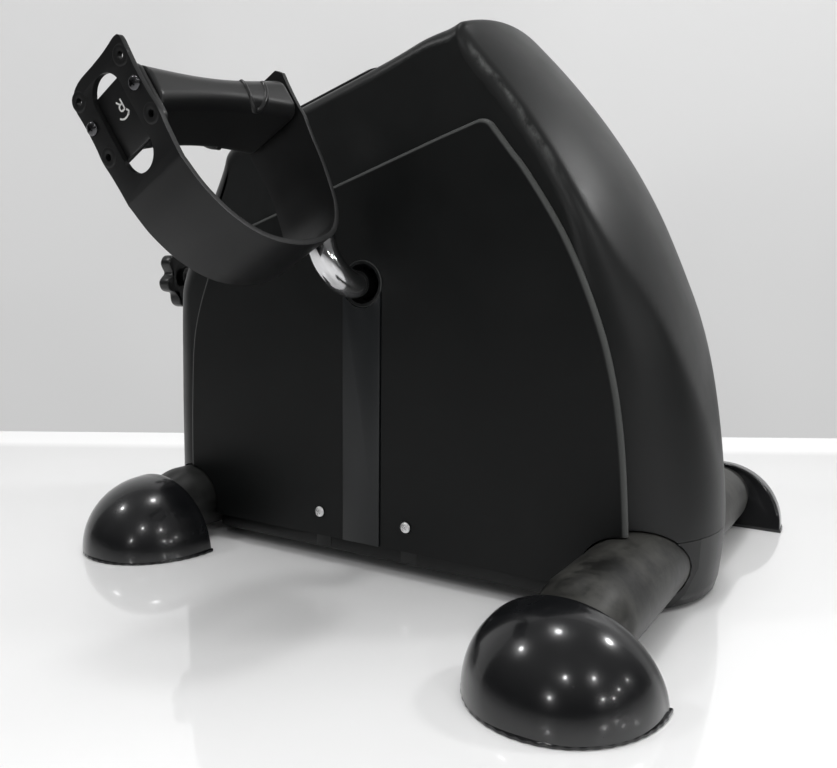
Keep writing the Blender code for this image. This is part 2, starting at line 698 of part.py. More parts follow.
COVER_X = LEG_X - LEG_HALF_WIDTH - 0.0010
COVER_LOW = 0.0066
COVER_FLOOR = 0.0022
COVER_HALF_Y = HOUSING_HALF_WIDTH - 0.0010
COVER_WALL = 0.0025
SKIRT_LOW = 0.0025
SKIRT_TAPER = 0.88
RAIL_LOW = LEG_TOP + GAP
RAIL_TOP = RAIL_LOW + RAIL_HEIGHT


def make_bottom_cover():
    floor_top = COVER_LOW + COVER_FLOOR
    cover = block("bottom_cover", (-COVER_X, COVER_X), (-COVER_HALF_Y, COVER_HALF_Y),
                  (COVER_LOW, SHELL_BOTTOM - GAP), HOUSING_BLACK)
    inside_y = COVER_HALF_Y - COVER_WALL
    cut(cover, block("cover_inside", (COVER_WALL - COVER_X, COVER_X - COVER_WALL),
                     (-inside_y, inside_y), (floor_top, 0.03)))
    for x in (-0.06, 0.06):
        join(cover, rod("cover_boss", (x, 0, COVER_LOW + 0.001), (x, 0, RAIL_LOW - GAP), 0.006,
                        sides=FINE_SIDES))
    for side in (-1, 1):
        for away in (-SCREW_SPREAD, SCREW_SPREAD):
            x = HUB_X + away
            y = sorted((side * (COVER_HALF_Y - 0.0035),
                        side * (PANEL_PLANE - HOUSING_WALL - 4 * GAP)))
            tab = block("cover_tab", (x - 0.005, x + 0.005), y, (COVER_LOW + 0.001, 0.0345))
            join(cover, tab)
            cut(cover, rod("tab_hole", (x, side * 0.05, HOUSING_SCREW_Z),
                           (x, side * 0.07, HOUSING_SCREW_Z), HOUSING_SCREW_RADIUS + GAP, sides=12))


def skirt_ring(side, z, share, margin):
    """Plan of a skirt at one height, from the housing's own plan at the seam."""
    base = side * (LEG_X + 0.0005 + margin)
    rows = hull_rings(0.0, SHELL_BOTTOM, 24)
    seam = [row[-2] if side > 0 else row[1] for row in rows]
    plan = [(x, y) for x, y, _ in seam if side * (x - base) > 0.004]
    ring = []
    for x, y in plan:
        reach = (x - base) * share - side * margin
        ring.append((base + reach, y * (0.5 + 0.5 * share) * (1 - margin / 0.05), z))
    first = ring[0]
    last = ring[-1]
    return [(base, first[1], z)] + ring + [(base, last[1], z)]


def make_skirts():
    for end, x, _ in LEGS:
        side = math.copysign(1.0, x)
        levels = ((SEAM_Z - GAP, 1.0), (0.020, 0.97), (0.008, 0.93), (SKIRT_LOW, SKIRT_TAPER))
        skirt = loft(end + "_skirt", [skirt_ring(side, z, share, 0.0) for z, share in levels],
                     HOUSING_BLACK)
        inner = [skirt_ring(side, z, share, HOUSING_WALL) for z, share in levels]
        inner[0] = [(px, py, 0.05) for px, py, _ in inner[0]]
        inner[-1] = [(px, py, SKIRT_LOW + HOUSING_WALL) for px, py, _ in inner[-1]]
        cut(skirt, loft(end + "_skirt_inside", inner))
        cut(skirt, leg_bar(end + "_skirt_way", x, 0.1, 2 * GAP))
        smooth(skirt, 30.0)


# Welded frame

def belt_outline(extra):
    """Loop round the two pulleys, this far outside them, anticlockwise."""
    big = DRIVE_PULLEY_RADIUS + extra
    small = SMALL_PULLEY_RADIUS + extra
    reach_x = FLYWHEEL_X - HUB_X
    reach_z = FLYWHEEL_Z - HUB_Z
    line = math.degrees(math.atan2(reach_z, reach_x))
    spread = math.degrees(math.acos((big - small) / math.hypot(reach_x, reach_z)))
    large_side = arc((HUB_X, HUB_Z), big, line + spread, line + 360 - spread, 18)
    small_side = arc((FLYWHEEL_X, FLYWHEEL_Z), small, line - spread, line + spread, 7)
    return large_side + small_side


def make_frame():
    rail_x = LEG_X + 0.010
    frame = block("main_frame", (-rail_x, rail_x), (-RAIL_HALF_WIDTH, RAIL_HALF_WIDTH),
                  (RAIL_LOW, RAIL_TOP), FRAME_PAINT)
    cut(frame, block("rail_bore", (-0.2, 0.2), (RAIL_WALL - RAIL_HALF_WIDTH,
                                              RAIL_HALF_WIDTH - RAIL_WALL),
                     (RAIL_LOW + RAIL_WALL, RAIL_TOP - RAIL_WALL)))
    join(frame, block("post", (HUB_X - POST_HALF_X, HUB_X + POST_HALF_X),
                      (-POST_HALF_Y, POST_HALF_Y), (RAIL_TOP - 0.001, HUB_Z)))
    join(frame, rod("crank_tube", (HUB_X, -CRANK_TUBE_HALF, HUB_Z), (HUB_X, CRANK_TUBE_HALF, HUB_Z),
                    CRANK_TUBE_RADIUS))
    top = CRANK_TUBE_RADIUS + HUB_Z - 0.004
    lug_inner = ARM_HALF_WIDTH + 2 * GAP
    for side in (-1, 1):
        y = sorted((side * FORK_INNER, side * (FORK_INNER + FORK_THICKNESS)))
        outline = [(FLYWHEEL_X - 0.020, RAIL_TOP - 0.001), (FLYWHEEL_X + 0.020, RAIL_TOP - 0.001)]
        outline += arc((FLYWHEEL_X, FLYWHEEL_Z), 0.013, -10, 190, 8)
        join(frame, prism("fork_plate", outline, "XZ", *y))
        cut(frame, rod("fork_bore", (FLYWHEEL_X, y[0] - 0.01, FLYWHEEL_Z),
                       (FLYWHEEL_X, y[1] + 0.01, FLYWHEEL_Z), FORK_BEARING_RADIUS + GAP))
        y = sorted((side * lug_inner, side * (lug_inner + 0.003)))
        outline = [(HUB_X - 0.011, top), (HUB_X + 0.011, top)]
        outline += arc((HUB_X, PIVOT_Z), 0.007, 0, 180, 6)
        join(frame, prism("pivot_lug", outline, "XZ", *y))
        cut(frame, rod("lug_bore", (HUB_X, y[0] - 0.002, PIVOT_Z), (HUB_X, y[1] + 0.002, PIVOT_Z),
                       PIVOT_RADIUS + GAP, sides=FINE_SIDES))
    cut(frame, rod("crank_bore", (HUB_X, -0.05, HUB_Z), (HUB_X, 0.05, HUB_Z),
                   CRANK_TUBE_RADIUS - CRANK_TUBE_WALL))
    for _, x, _ in LEGS:
        cut(frame, rod("bolt_way", (x, 0, RAIL_LOW - 0.005), (x, 0, RAIL_TOP + 0.005), 0.0045,
                       sides=FINE_SIDES))


def hexagon(radius, centre=(0.0, 0.0)):
    return [polar(radius, 60.0 * step, centre) for step in range(6)]


def make_foot_bolts():
    for end, x, _ in LEGS:
        bolt = prism(end + "_foot_bolt", hexagon(0.0075, (x, 0.0)), "XY", RAIL_TOP + GAP,
                     RAIL_TOP + GAP + 0.0052, ZINC)
        join(bolt, rod(end + "_bolt_shank", (x, 0, LEG_Z), (x, 0, RAIL_TOP + 0.002), 0.004,
                       sides=FINE_SIDES))


# Crank

HUB = Vector((HUB_X, 0.0, HUB_Z))
ARM = Vector((math.cos(math.radians(ARM_ANGLE)), 0.0, math.sin(math.radians(ARM_ANGLE))))
DROOP = math.radians(AXLE_DROOP)
AXLE = Vector((0.0, -math.cos(DROOP), 0.0)) - ARM * math.sin(DROOP)
TOP_BEND = HUB + Vector((0.0, -ARM_PLANE, 0.0)) + ARM * ARM_LENGTH
PEDAL_ORIGIN = TOP_BEND + AXLE * PEDAL_START
AXLE_END = PEDAL_LENGTH - 0.0040
SENSOR_Z = HUB_Z - DRIVE_PULLEY_RADIUS + 0.0150
SENSOR_REACH = 0.0042
SHOULDER = 0.0068


def bend(before, corner, after, radius, steps):
    """Points on the arc that rounds a corner."""
    one = (before - corner).normalized()
    two = (after - corner).normalized()
    half = one.angle(two) / 2
    centre = corner + (one + two).normalized() * (radius / math.sin(half))
    start = corner + one * (radius / math.tan(half)) - centre
    end = corner + two * (radius / math.tan(half)) - centre
    whole = start.angle(end)
    points = []
    for step in range(steps + 1):
        t = step / steps
        points.append(centre + (start * math.sin((1 - t) * whole) + end * math.sin(t * whole))
                      / math.sin(whole))
    return points


def make_crank():
    corner = HUB + Vector((0.0, -ARM_PLANE, 0.0))
    shoulder = PEDAL_ORIGIN - AXLE * SHOULDER
    tip = PEDAL_ORIGIN + AXLE * AXLE_END
    points = [HUB] + bend(HUB, corner, TOP_BEND, BEND_RADIUS, 6)
    points += bend(corner, TOP_BEND, shoulder, 0.0140, 5)
    points += [shoulder, shoulder + AXLE * 0.0006, tip - AXLE * 0.0008, tip]
    radii = [ROD_RADIUS] * (len(points) - 3) + [AXLE_RADIUS, AXLE_RADIUS, AXLE_RADIUS * 0.8]
    far = [HUB * 2 - point for point in reversed(points[1:])]
    whole = far + points
    sizes = list(reversed(radii[1:])) + radii
    crank = bent_rod("crank", whole, ROD_RADIUS, CHROME, sizes)
    return pivot(crank, HUB)


def make_crank_bearings():
    for side, hand in ((-1, "right"), (1, "left")):
        outer = CRANK_TUBE_RADIUS - CRANK_TUBE_WALL - GAP
        inner = ROD_RADIUS + GAP
        near = CRANK_TUBE_HALF - BEARING_WIDTH
        lip = CRANK_TUBE_HALF + GAP
        profile = [(outer + 0.002, lip + 0.0015), (outer + 0.002, lip), (outer, lip), (outer, near),
                   (inner, near), (inner, lip + 0.0015)]
        smooth(turned("crank_bearing_" + hand, profile, (HUB_X, 0, HUB_Z), (0, side, 0), NYLON))


def make_drive_pulley():
    near = DRIVE_PULLEY_Y
    far = near + PULLEY_WIDTH
    rim = DRIVE_PULLEY_RADIUS - 0.0050
    bore = ROD_RADIUS + GAP
    profile = [(DRIVE_PULLEY_RADIUS, far), (DRIVE_PULLEY_RADIUS, near), (rim, near),
               (rim, near + 0.0025), (0.014, near + 0.0025), (0.014, near - 0.002),
               (bore, near - 0.002), (bore, far + 0.002), (0.014, far + 0.002),
               (0.014, far - 0.0025), (rim, far - 0.0025), (rim, far)]
    pulley = turned("drive_pulley", profile, (0, 0, 0), (0, 1, 0), NYLON)
    pulley.location = HUB
    for step in range(5):
        x, z = polar(DRIVE_PULLEY_RADIUS * 0.59, 90 + 72 * step, (HUB_X, HUB_Z))
        cut(pulley, rod("pulley_hole_%d" % step, (x, near - 0.001, z), (x, far + 0.001, z), 0.008,
                        sides=8))
    smooth(pulley)
    magnet = rod("sensor_magnet", (HUB_X, DRIVE_PULLEY_Y - SENSOR_REACH, SENSOR_Z),
                 (HUB_X, DRIVE_PULLEY_Y + 0.0025 - GAP, SENSOR_Z), 0.003, MAGNET,
                 sides=FINE_SIDES)
    pivot(magnet, HUB)


def make_belt():
    middle = DRIVE_PULLEY_Y + PULLEY_WIDTH / 2
    low = middle - BELT_WIDTH / 2
    high = middle + BELT_WIDTH / 2
    belt = prism("drive_belt", belt_outline(GAP + BELT_THICKNESS), "XZ", low, high, RUBBER)
    cut(belt, prism("belt_inside", belt_outline(GAP), "XZ", low - 0.01, high + 0.01))
    smooth(belt)


def make_flywheel():
    centre = (FLYWHEEL_X, 0, FLYWHEEL_Z)
    bore = FLYWHEEL_SHAFT_RADIUS + GAP
    hub = FORK_INNER - 2 * GAP
    rim = FLYWHEEL_RADIUS - 0.010
    web = FLYWHEEL_HALF - 0.0035
    profile = [(FLYWHEEL_RADIUS, FLYWHEEL_HALF - 0.001), (FLYWHEEL_RADIUS, 0.001 - FLYWHEEL_HALF),
               (FLYWHEEL_RADIUS - 0.001, -FLYWHEEL_HALF), (rim, -FLYWHEEL_HALF), (rim, -web),
               (0.011, -web), (0.011, -hub), (bore, -hub), (bore, hub), (0.011, hub), (0.011, web),
               (rim, web), (rim, FLYWHEEL_HALF), (FLYWHEEL_RADIUS - 0.001, FLYWHEEL_HALF)]
    smooth(turned("flywheel", profile, centre, (0, 1, 0), IRON))
    near = -(FORK_INNER + FORK_THICKNESS + 0.003)
    far = DRIVE_PULLEY_Y + PULLEY_WIDTH + 0.001
    shaft = rod("flywheel_shaft", (FLYWHEEL_X, near, FLYWHEEL_Z), (FLYWHEEL_X, far, FLYWHEEL_Z),
                FLYWHEEL_SHAFT_RADIUS, STEEL, sides=24)
    pivot(shaft, centre)
    near = FORK_INNER + FORK_THICKNESS + 0.0030
    face = DRIVE_PULLEY_Y
    far = face + PULLEY_WIDTH
    profile = [(SMALL_PULLEY_RADIUS, far), (SMALL_PULLEY_RADIUS, face), (0.0085, face),
               (0.0085, near), (bore, near), (bore, far)]
    smooth(turned("small_pulley", profile, centre, (0, 1, 0), STEEL, 24))
    for side, hand in ((-1, "right"), (1, "left")):
        inner = FORK_INNER
        outer = FORK_INNER + FORK_THICKNESS + 0.002
        lip = FORK_INNER + FORK_THICKNESS + GAP
        profile = [(0.0100, outer), (0.0100, lip), (FORK_BEARING_RADIUS, lip),
                   (FORK_BEARING_RADIUS, inner), (bore, inner), (bore, outer)]
        smooth(turned("flywheel_bearing_" + hand, profile, centre, (0, side, 0), STEEL, 24))


# Brake and tension control

MAGNET_BOTTOM = FLYWHEEL_Z + FLYWHEEL_RADIUS + MAGNET_GAP
MAGNET_HEIGHT = 0.0095
BRAKE_PIVOT = Vector((HUB_X, 0.0, PIVOT_Z))


def ribbon(points, half):
    """Closed outline of a strip of even thickness along a line."""
    data = np.array(points, float)
    tangent = np.zeros_like(data)
    step = np.diff(data, axis=0)
    step /= np.linalg.norm(step, axis=1)[:, None]
    tangent[0] = step[0]
    tangent[-1] = step[-1]
    tangent[1:-1] = step[:-1] + step[1:]
    tangent /= np.linalg.norm(tangent, axis=1)[:, None]
    normal = np.stack([-tangent[:, 1], tangent[:, 0]], axis=1)
    stretch = np.ones(len(data))
    stretch[1:-1] = 1 / np.clip(np.einsum("ij,ij->i", tangent[1:-1], step[1:]), 0.5, 1.0)
    offset = normal * (half * stretch)[:, None]
    return [tuple(point) for point in np.vstack([data - offset, (data + offset)[::-1]])]


def make_brake():
    strip_z = MAGNET_BOTTOM + MAGNET_HEIGHT + GAP + 0.0015
    lug_x = LEVER_X + LEVER_THICKNESS / 2
    path = [(FLYWHEEL_X + 0.020, strip_z), (FLYWHEEL_X - 0.024, strip_z), (HUB_X + 0.012, PIVOT_Z),
            (HUB_X, PIVOT_Z), (HUB_X - 0.020, PIVOT_Z - 0.006), (lug_x, SCREW_Z + 0.0140),
            (lug_x, SCREW_Z - 0.0105)]
    arm = prism("brake_arm", ribbon(path, LEVER_THICKNESS / 2), "XZ", -ARM_HALF_WIDTH,
                ARM_HALF_WIDTH, ZINC)
    join(arm, rod("arm_boss", (HUB_X, -ARM_HALF_WIDTH, PIVOT_Z), (HUB_X, 0.003, PIVOT_Z), 0.0062,
                  sides=24))
    cut(arm, block("spring_way", (HUB_X - 0.0085, HUB_X + 0.0085), (0.003, 0.02),
                   (PIVOT_Z - 0.009, PIVOT_Z + 0.009)))
    cut(arm, rod("arm_bore", (HUB_X, -0.02, PIVOT_Z), (HUB_X, 0.02, PIVOT_Z), PIVOT_RADIUS + GAP,
                 sides=FINE_SIDES))
    cut(arm, block("screw_fork", (lug_x - 0.006, lug_x + 0.006), (-0.0038, 0.0038),
                   (SCREW_Z - 0.02, SCREW_Z + 0.0055)))
    pivot(arm, BRAKE_PIVOT)
    magnet = block("brake_magnet", (FLYWHEEL_X - 0.016, FLYWHEEL_X + 0.016),
                   (-FLYWHEEL_HALF, FLYWHEEL_HALF),
                   (MAGNET_BOTTOM - 0.002, MAGNET_BOTTOM + MAGNET_HEIGHT), MAGNET)
    cut(magnet, rod("magnet_face", (FLYWHEEL_X, -0.02, FLYWHEEL_Z), (FLYWHEEL_X, 0.02, FLYWHEEL_Z),
                    FLYWHEEL_RADIUS + MAGNET_GAP, sides=64))
    pivot(magnet, BRAKE_PIVOT)
    half = ARM_HALF_WIDTH + 2 * GAP + 0.003
    pin = rod("brake_pivot_pin", (HUB_X, -half - 0.002, PIVOT_Z), (HUB_X, half + 0.001, PIVOT_Z),
              PIVOT_RADIUS, ZINC, sides=FINE_SIDES)
    join(pin, rod("pin_head", (HUB_X, half + GAP, PIVOT_Z), (HUB_X, half + 0.0025, PIVOT_Z),
                  0.0052, sides=FINE_SIDES))


def make_return_spring():
    """Torsion spring beside the arm's boss, with a tail under the arm and one on the frame."""
    wire = 0.0006
    turns = 3
    coil = PIVOT_RADIUS + 2 * GAP + wire
    points = [Vector((HUB_X - 0.016, 0.0070, PIVOT_Z - 0.0075))]
    for step in range(turns * 10 + 1):
        angle = math.radians(250 + 36 * step)
        y = 0.0040 + 0.0034 * step / (turns * 10)
        points.append(Vector((HUB_X + coil * math.cos(angle), y, PIVOT_Z + coil * math.sin(angle))))
    points[0].y = points[1].y
    points.append(Vector((HUB_X - 0.0020, points[-1].y, HUB_Z + CRANK_TUBE_RADIUS + 0.001)))
    spring = bent_rod("return_spring", points, wire, STEEL, resolution=1)
    pivot(spring, BRAKE_PIVOT)


def knob_ring(x, inset):
    """The knob's lobed outline at one distance along its axis."""
    points = []
    count = KNOB_LOBES * 8
    for step in range(count):
        angle = 2 * math.pi * step / count
        wave = 0.5 + 0.5 * math.cos(KNOB_LOBES * angle)
        radius = KNOB_RADIUS - inset - 2 * KNOB_LOBE_DEPTH * (1 - wave) ** 1.5
        points.append((x, radius * math.cos(angle), SCREW_Z + radius * math.sin(angle)))
    return points


def make_tension():
    centre = Vector((0.0, 0.0, SCREW_Z))
    back = KNOB_FACE_X + KNOB_THICKNESS
    levels = ((KNOB_FACE_X, 0.0020), (KNOB_FACE_X + 0.0006, 0.0007), (KNOB_FACE_X + 0.0020, 0.0),
              (back - 0.0012, 0.0), (back, 0.0010))
    knob = loft("tension_knob", [knob_ring(x, inset) for x, inset in levels], SATIN_BLACK)
    smooth(knob)
    cut(knob, rod("knob_hollow", (KNOB_FACE_X + 0.004, 0, SCREW_Z), (back + 0.01, 0, SCREW_Z),
                  KNOB_RADIUS - 2 * KNOB_LOBE_DEPTH - 0.003))
    join(knob, rod("knob_boss", (KNOB_FACE_X + 0.003, 0, SCREW_Z), (back, 0, SCREW_Z), 0.007))
    cut(knob, rod("knob_bore", (KNOB_FACE_X + 0.0055, 0, SCREW_Z), (back + 0.01, 0, SCREW_Z),
                  SCREW_RADIUS + GAP, sides=FINE_SIDES))
    pivot(knob, centre + Vector((KNOB_FACE_X, 0, 0)))
    screw = rod("tension_screw", (KNOB_FACE_X + 0.0058, 0, SCREW_Z), (LEVER_X + 0.0130, 0, SCREW_Z),
                SCREW_RADIUS, ZINC, sides=FINE_SIDES)
    pivot(screw, centre + Vector((KNOB_FACE_X, 0, 0)))
    near = LEVER_X + LEVER_THICKNESS + GAP
    nut = prism("tension_nut", hexagon(0.0068, (0.0, SCREW_Z)), "YZ", near, near + 0.0060, ZINC)
    cut(nut, rod("nut_bore", (-0.1, 0, SCREW_Z), (0, 0, SCREW_Z), SCREW_RADIUS + GAP,
                 sides=FINE_SIDES))
    collar = rod("tension_collar", (COLLAR_OUT_X, 0, SCREW_Z), (COLLAR_IN_X, 0, SCREW_Z),
                 COLLAR_RADIUS, SATIN_BLACK)
    cut(collar, loft("collar_seat", hull_rings(-GAP, SHELL_BOTTOM, 12)))
    join(collar, rod("collar_neck", (COLLAR_OUT_X + 0.004, 0, SCREW_Z), (COLLAR_IN_X, 0, SCREW_Z),
                     COLLAR_RADIUS - 0.003, sides=FINE_SIDES))
    cut(collar, rod("collar_bore", (-0.2, 0, SCREW_Z), (-0.14, 0, SCREW_Z), SCREW_RADIUS + GAP,
                    sides=FINE_SIDES))


# Display

def rounded_rectangle(half_x, half_y, radius, count=4):
    outline = []
    for turn, (sign_x, sign_y) in enumerate(((1, 1), (-1, 1), (-1, -1), (1, -1))):
        centre = (sign_x * (half_x - radius), sign_y * (half_y - radius))
        outline += arc(centre, radius, 90 * turn, 90 * turn + 90, count)
    return outline


def make_display():
    plate_x = CONSOLE_LENGTH / 2 - 0.004
    case = prism("display_case", rounded_rectangle(plate_x, PLATE_HALF_WIDTH, 0.006), "XY", GAP,
                 GAP + PLATE_THICKNESS, SATIN_BLACK)
    case_x = 0.0395
    case_y = 0.0435
    body = block("case_body", (-case_x, case_x), (-case_y, case_y), (-DISPLAY_DEPTH, GAP * 4))
    inside = block("case_inside", (DISPLAY_WALL - case_x, case_x - DISPLAY_WALL),
                   (DISPLAY_WALL - case_y, case_y - DISPLAY_WALL), (-DISPLAY_DEPTH - 0.01, -0.0010))
    window = block("lens_window", (-0.008, 0.030), (-0.028, 0.028), (-0.01, 0.01))
    ledge = block("lens_ledge", (-0.010, 0.032), (-0.030, 0.030), (0.0006, 0.01))
    hole = rod("button_hole", (-0.026, 0, -0.01), (-0.026, 0, 0.01), 0.0063, sides=24)
    for item in (case, body, inside, window, ledge, hole):
        on_console(item)
    join(case, body)
    cut(case, inside, window, ledge, hole)
    on_console(block("display_lens", (GAP - 0.010, 0.032 - GAP), (GAP - 0.030, 0.030 - GAP),
                     (0.0006 + GAP, 0.0021), LENS))
    button = rod("mode_button", (-0.026, 0, -0.0030), (-0.026, 0, 0.0036), 0.0060, BUTTON_GREY,
                 sides=24)
    flange = rod("button_flange", (-0.026, 0, -0.0030), (-0.026, 0, -0.0010 - GAP), 0.0078,
                 sides=24)
    on_console(button)
    on_console(flange)
    join(button, flange)
    pivot(button, CONSOLE @ Vector((-0.026, 0, 0)))
    z = -0.0010 - GAP - 0.00525
    y = case_y - DISPLAY_WALL - 2 * GAP - 0.00525
    on_console(rod("battery_cell", (-0.010, y, z), (case_x - DISPLAY_WALL - 0.003, y, z), 0.00525,
                   ZINC))
    block("speed_sensor", (HUB_X - 0.0050, HUB_X + 0.0050),
          (POST_HALF_Y + GAP, DRIVE_PULLEY_Y - SENSOR_REACH - 2 * GAP),
          (SENSOR_Z - 0.0045, SENSOR_Z + 0.0045), SATIN_BLACK)


# Pedals

STRAP_GAP = GAP + STRAP_THICKNESS / 2
END_FACE = PEDAL_LENGTH + GAP + END_PLATE
OUTER_LEG = END_FACE + STRAP_GAP
STRAP_LINE = ((-0.0042, -0.0105), (-0.0028, 0.0090), (-0.0002, 0.0320), (0.0035, 0.0460),
              (0.0085, 0.0585), (0.0180, 0.0690), (0.0300, 0.0735), (0.0470, 0.0740),
              (0.0640, 0.0695), (0.0765, 0.0600), (0.0845, 0.0470), (OUTER_LEG, 0.0330),
              (OUTER_LEG, 0.0210), (OUTER_LEG, -0.0210))
OPENING = (-0.0130, 0.0280)   # ends of the oval opening in the strap's outer leg, along d
OPENING_HALF = 0.0086
STUD_AWAY = 0.0148            # stud to the middle of the strap, across
STRAP_PLAN = ((-0.0192, 0.0120), (-0.0186, 0.0172), (-0.0176, 0.0186), (-0.0120, 0.0190),
              (-0.0050, 0.0183), (0.0070, 0.0183), (0.0130, 0.0189), (0.0200, 0.0181),
              (0.0300, 0.0176), (0.0450, 0.0175), (0.0850, 0.0175))   # half width along d
POCKET = 0.0092               # pocket for the axle nut
POCKET_DEPTH = 0.0100


def pedal_frame(hand):
    """Matrix from the pedal's own frame to the world: columns u, d and l."""
    turn = math.radians(PEDAL_TURN)
    down = Vector((math.cos(turn), 0.0, math.sin(turn)))
    down = (down - AXLE * down.dot(AXLE)).normalized()
    across = AXLE.cross(down)
    origin = PEDAL_ORIGIN
    outward = AXLE
    if hand == "left":
        origin = HUB * 2 - PEDAL_ORIGIN
        outward = -AXLE
        down = -down
    frame = Matrix((outward, down, across)).transposed().to_4x4()
    return Matrix.Translation(origin) @ frame


def place(item, frame):
    """Put an object that was modelled in the pedal's own frame in the world."""
    item.matrix_world = frame
    return item


def make_pedal_body(hand, frame):
    name = "pedal_body_" + hand
    tread = []
    for step in range(9):
        t = step / 8
        tread.append((PEDAL_LENGTH * t, TREAD_END - (TREAD_END - TREAD_MID) * math.sin(math.pi * t)))
    outline = [(0.0, -PEDAL_BACK), (PEDAL_LENGTH, -PEDAL_BACK)] + tread[::-1]
    body = prism(name, outline, "XY", -PEDAL_HALF_WIDTH, PEDAL_HALF_WIDTH, SATIN_BLACK)
    waist = []
    for side in (-1, 1):
        for step in range(9):
            t = step / 8 if side < 0 else 1 - step / 8
            narrow = (PEDAL_HALF_WIDTH - PEDAL_WAIST) * math.sin(math.pi * t)
            waist.append((-0.001 + (PEDAL_LENGTH + 0.002) * t, side * (PEDAL_HALF_WIDTH - narrow)))
    boolean(body, place(prism(name + "_waist", waist, "XZ", -0.05, 0.05), frame), "INTERSECT")
    bevel(body, 0.0045, 2)
    hub = AXLE_RADIUS + GAP
    bore = rod(name + "_bore", (-0.01, 0, 0), (PEDAL_LENGTH + 0.01, 0, 0), hub, sides=24)
    pocket = rod(name + "_pocket", (PEDAL_LENGTH - POCKET_DEPTH, 0, 0), (PEDAL_LENGTH + 0.01, 0, 0),
                 POCKET, sides=24)
    tools = [bore, pocket]
    for across in (-STUD_AWAY, STUD_AWAY):
        tools.append(rod(name + "_stud_hole", (PEDAL_LENGTH - 0.0125, 0, across),
                         (PEDAL_LENGTH + 0.01, 0, across), 0.0016 + GAP, sides=12))
        low, high = sorted((across * 0.45, across * 1.02))
        tools.append(block(name + "_hollow", (0.010, PEDAL_LENGTH - 0.016), (-PEDAL_BACK - 0.01, 0.004),
                           (low, high)))
    for tool in tools:
        place(tool, frame)
    cut(body, *tools)
    return place(body, frame)


def make_end_plate(hand, frame):
    name = "pedal_end_plate_" + hand
    outline = rounded_rectangle(0.0135, 0.0180, 0.0045)
    outline = [(d + 0.0045, across) for d, across in outline]
    plate = prism(name, outline, "YZ", PEDAL_LENGTH + GAP, END_FACE, SATIN_BLACK)
    for across in (-STUD_AWAY, STUD_AWAY):
        cut(plate, place(rod(name + "_hole", (PEDAL_LENGTH - 0.01, 0, across),
                             (PEDAL_LENGTH + 0.02, 0, across), 0.0016 + GAP, sides=12), frame))
    return place(plate, frame)


def strap_plan():
    """The strap seen along the axle: one corner of its end is sharper than the other."""
    sharp = [(d, half) for d, half in STRAP_PLAN]
    round_end = [(-0.0192, -0.0080), (-0.0183, -0.0128), (-0.0155, -0.0170), (-0.0120, -0.0186)]
    return round_end + [(d, -half) for d, half in sharp[4:]] + sharp[::-1]


def make_strap(hand, frame):
    name = "pedal_strap_" + hand
    line = spline_through(STRAP_LINE[:-2], 2)
    line = np.vstack([line, np.array(STRAP_LINE[-2:])])
    strap = prism(name, ribbon(line, STRAP_THICKNESS / 2), "XY", -STRAP_HALF_WIDTH,
                  STRAP_HALF_WIDTH, STRAP_BLACK)
    plan = place(prism(name + "_plan", strap_plan(), "YZ", -0.05, 0.15), frame)
    boolean(strap, plan, "INTERSECT")
    near = OUTER_LEG - 0.01
    far = OUTER_LEG + 0.01
    half = OPENING_HALF
    outline = arc((OPENING[1] - half, 0.0), half, -90, 90, 6)
    outline += arc((OPENING[0] + half, 0.0), half, 90, 270, 6)
    tools = [prism(name + "_opening", outline, "YZ", near, far),
             rod(name + "_axle_hole", (-0.02, 0, 0), (0.02, 0, 0), AXLE_RADIUS + 2 * GAP, sides=24)]
    for across in (-STUD_AWAY, STUD_AWAY):
        tools.append(rod(name + "_stud_hole", (near, 0, across), (far, 0, across), 0.0016 + GAP,
                         sides=12))
        for along in (-0.0120, 0.0130):
            tools.append(rod(name + "_spare_hole", (near, along, across), (far, along, across),
                             0.0014, sides=12))
    for tool in tools:
        place(tool, frame)
    cut(strap, *tools)
    return place(strap, frame)


def make_pedal_hardware(hand, frame):
    seat = PEDAL_LENGTH - POCKET_DEPTH + GAP
    bore = AXLE_RADIUS + GAP
    washer = turned("pedal_washer_" + hand, [(0.0085, seat + 0.0010), (0.0085, seat), (bore, seat),
                                             (bore, seat + 0.0010)], (0, 0, 0), (1, 0, 0), ZINC, 24)
    place(washer, frame @ washer.matrix_world)
    near = seat + 0.0010 + GAP
    nut = prism("pedal_nut_" + hand, hexagon(0.0082), "YZ", near, near + 0.0045, ZINC)
    place(nut, frame)
    cut(nut, place(rod("nut_bore_" + hand, (0, 0, 0), (0.1, 0, 0), bore, sides=24), frame))
    for across, end in ((STUD_AWAY, "front"), (-STUD_AWAY, "rear")):
        top = OUTER_LEG + STRAP_GAP
        profile = [(0.0, top + 0.0014), (0.0017, top + 0.0012), (0.0029, top + 0.0004),
                   (0.0029, top), (0.0016, top), (0.0016, PEDAL_LENGTH - 0.0110),
                   (0.0, PEDAL_LENGTH - 0.0115)]
        stud = turned("strap_stud_%s_%s" % (hand, end), profile, (0, 0, across), (1, 0, 0), ZINC,
                      FINE_SIDES)
        place(stud, frame @ stud.matrix_world)


make_legs()
make_caps()
make_housing()
make_slot_covers()
make_bushes()
make_housing_screws()
make_bottom_cover()
make_skirts()
make_frame()
make_foot_bolts()
make_crank()
make_crank_bearings()
make_drive_pulley()
make_belt()
make_flywheel()
make_brake()
make_return_spring()
make_tension()
make_display()
for pedal_hand in ("right", "left"):
    pedal_place = pedal_frame(pedal_hand)
    make_pedal_body(pedal_hand, pedal_place)
    make_end_plate(pedal_hand, pedal_place)
    make_strap(pedal_hand, pedal_place)
    make_pedal_hardware(pedal_hand, pedal_place)

middle_x = (KNOB_FACE_X + LEG_X + CAP_HALF_WIDTH) / 2
assembly = bpy.data.objects.new("assembly", None)
PARTS.objects.link(assembly)
assembly.location.x = -middle_x
for piece in list(PARTS.objects) + list(TOOLS.objects):
    if piece is not assembly:
        piece.parent = assembly
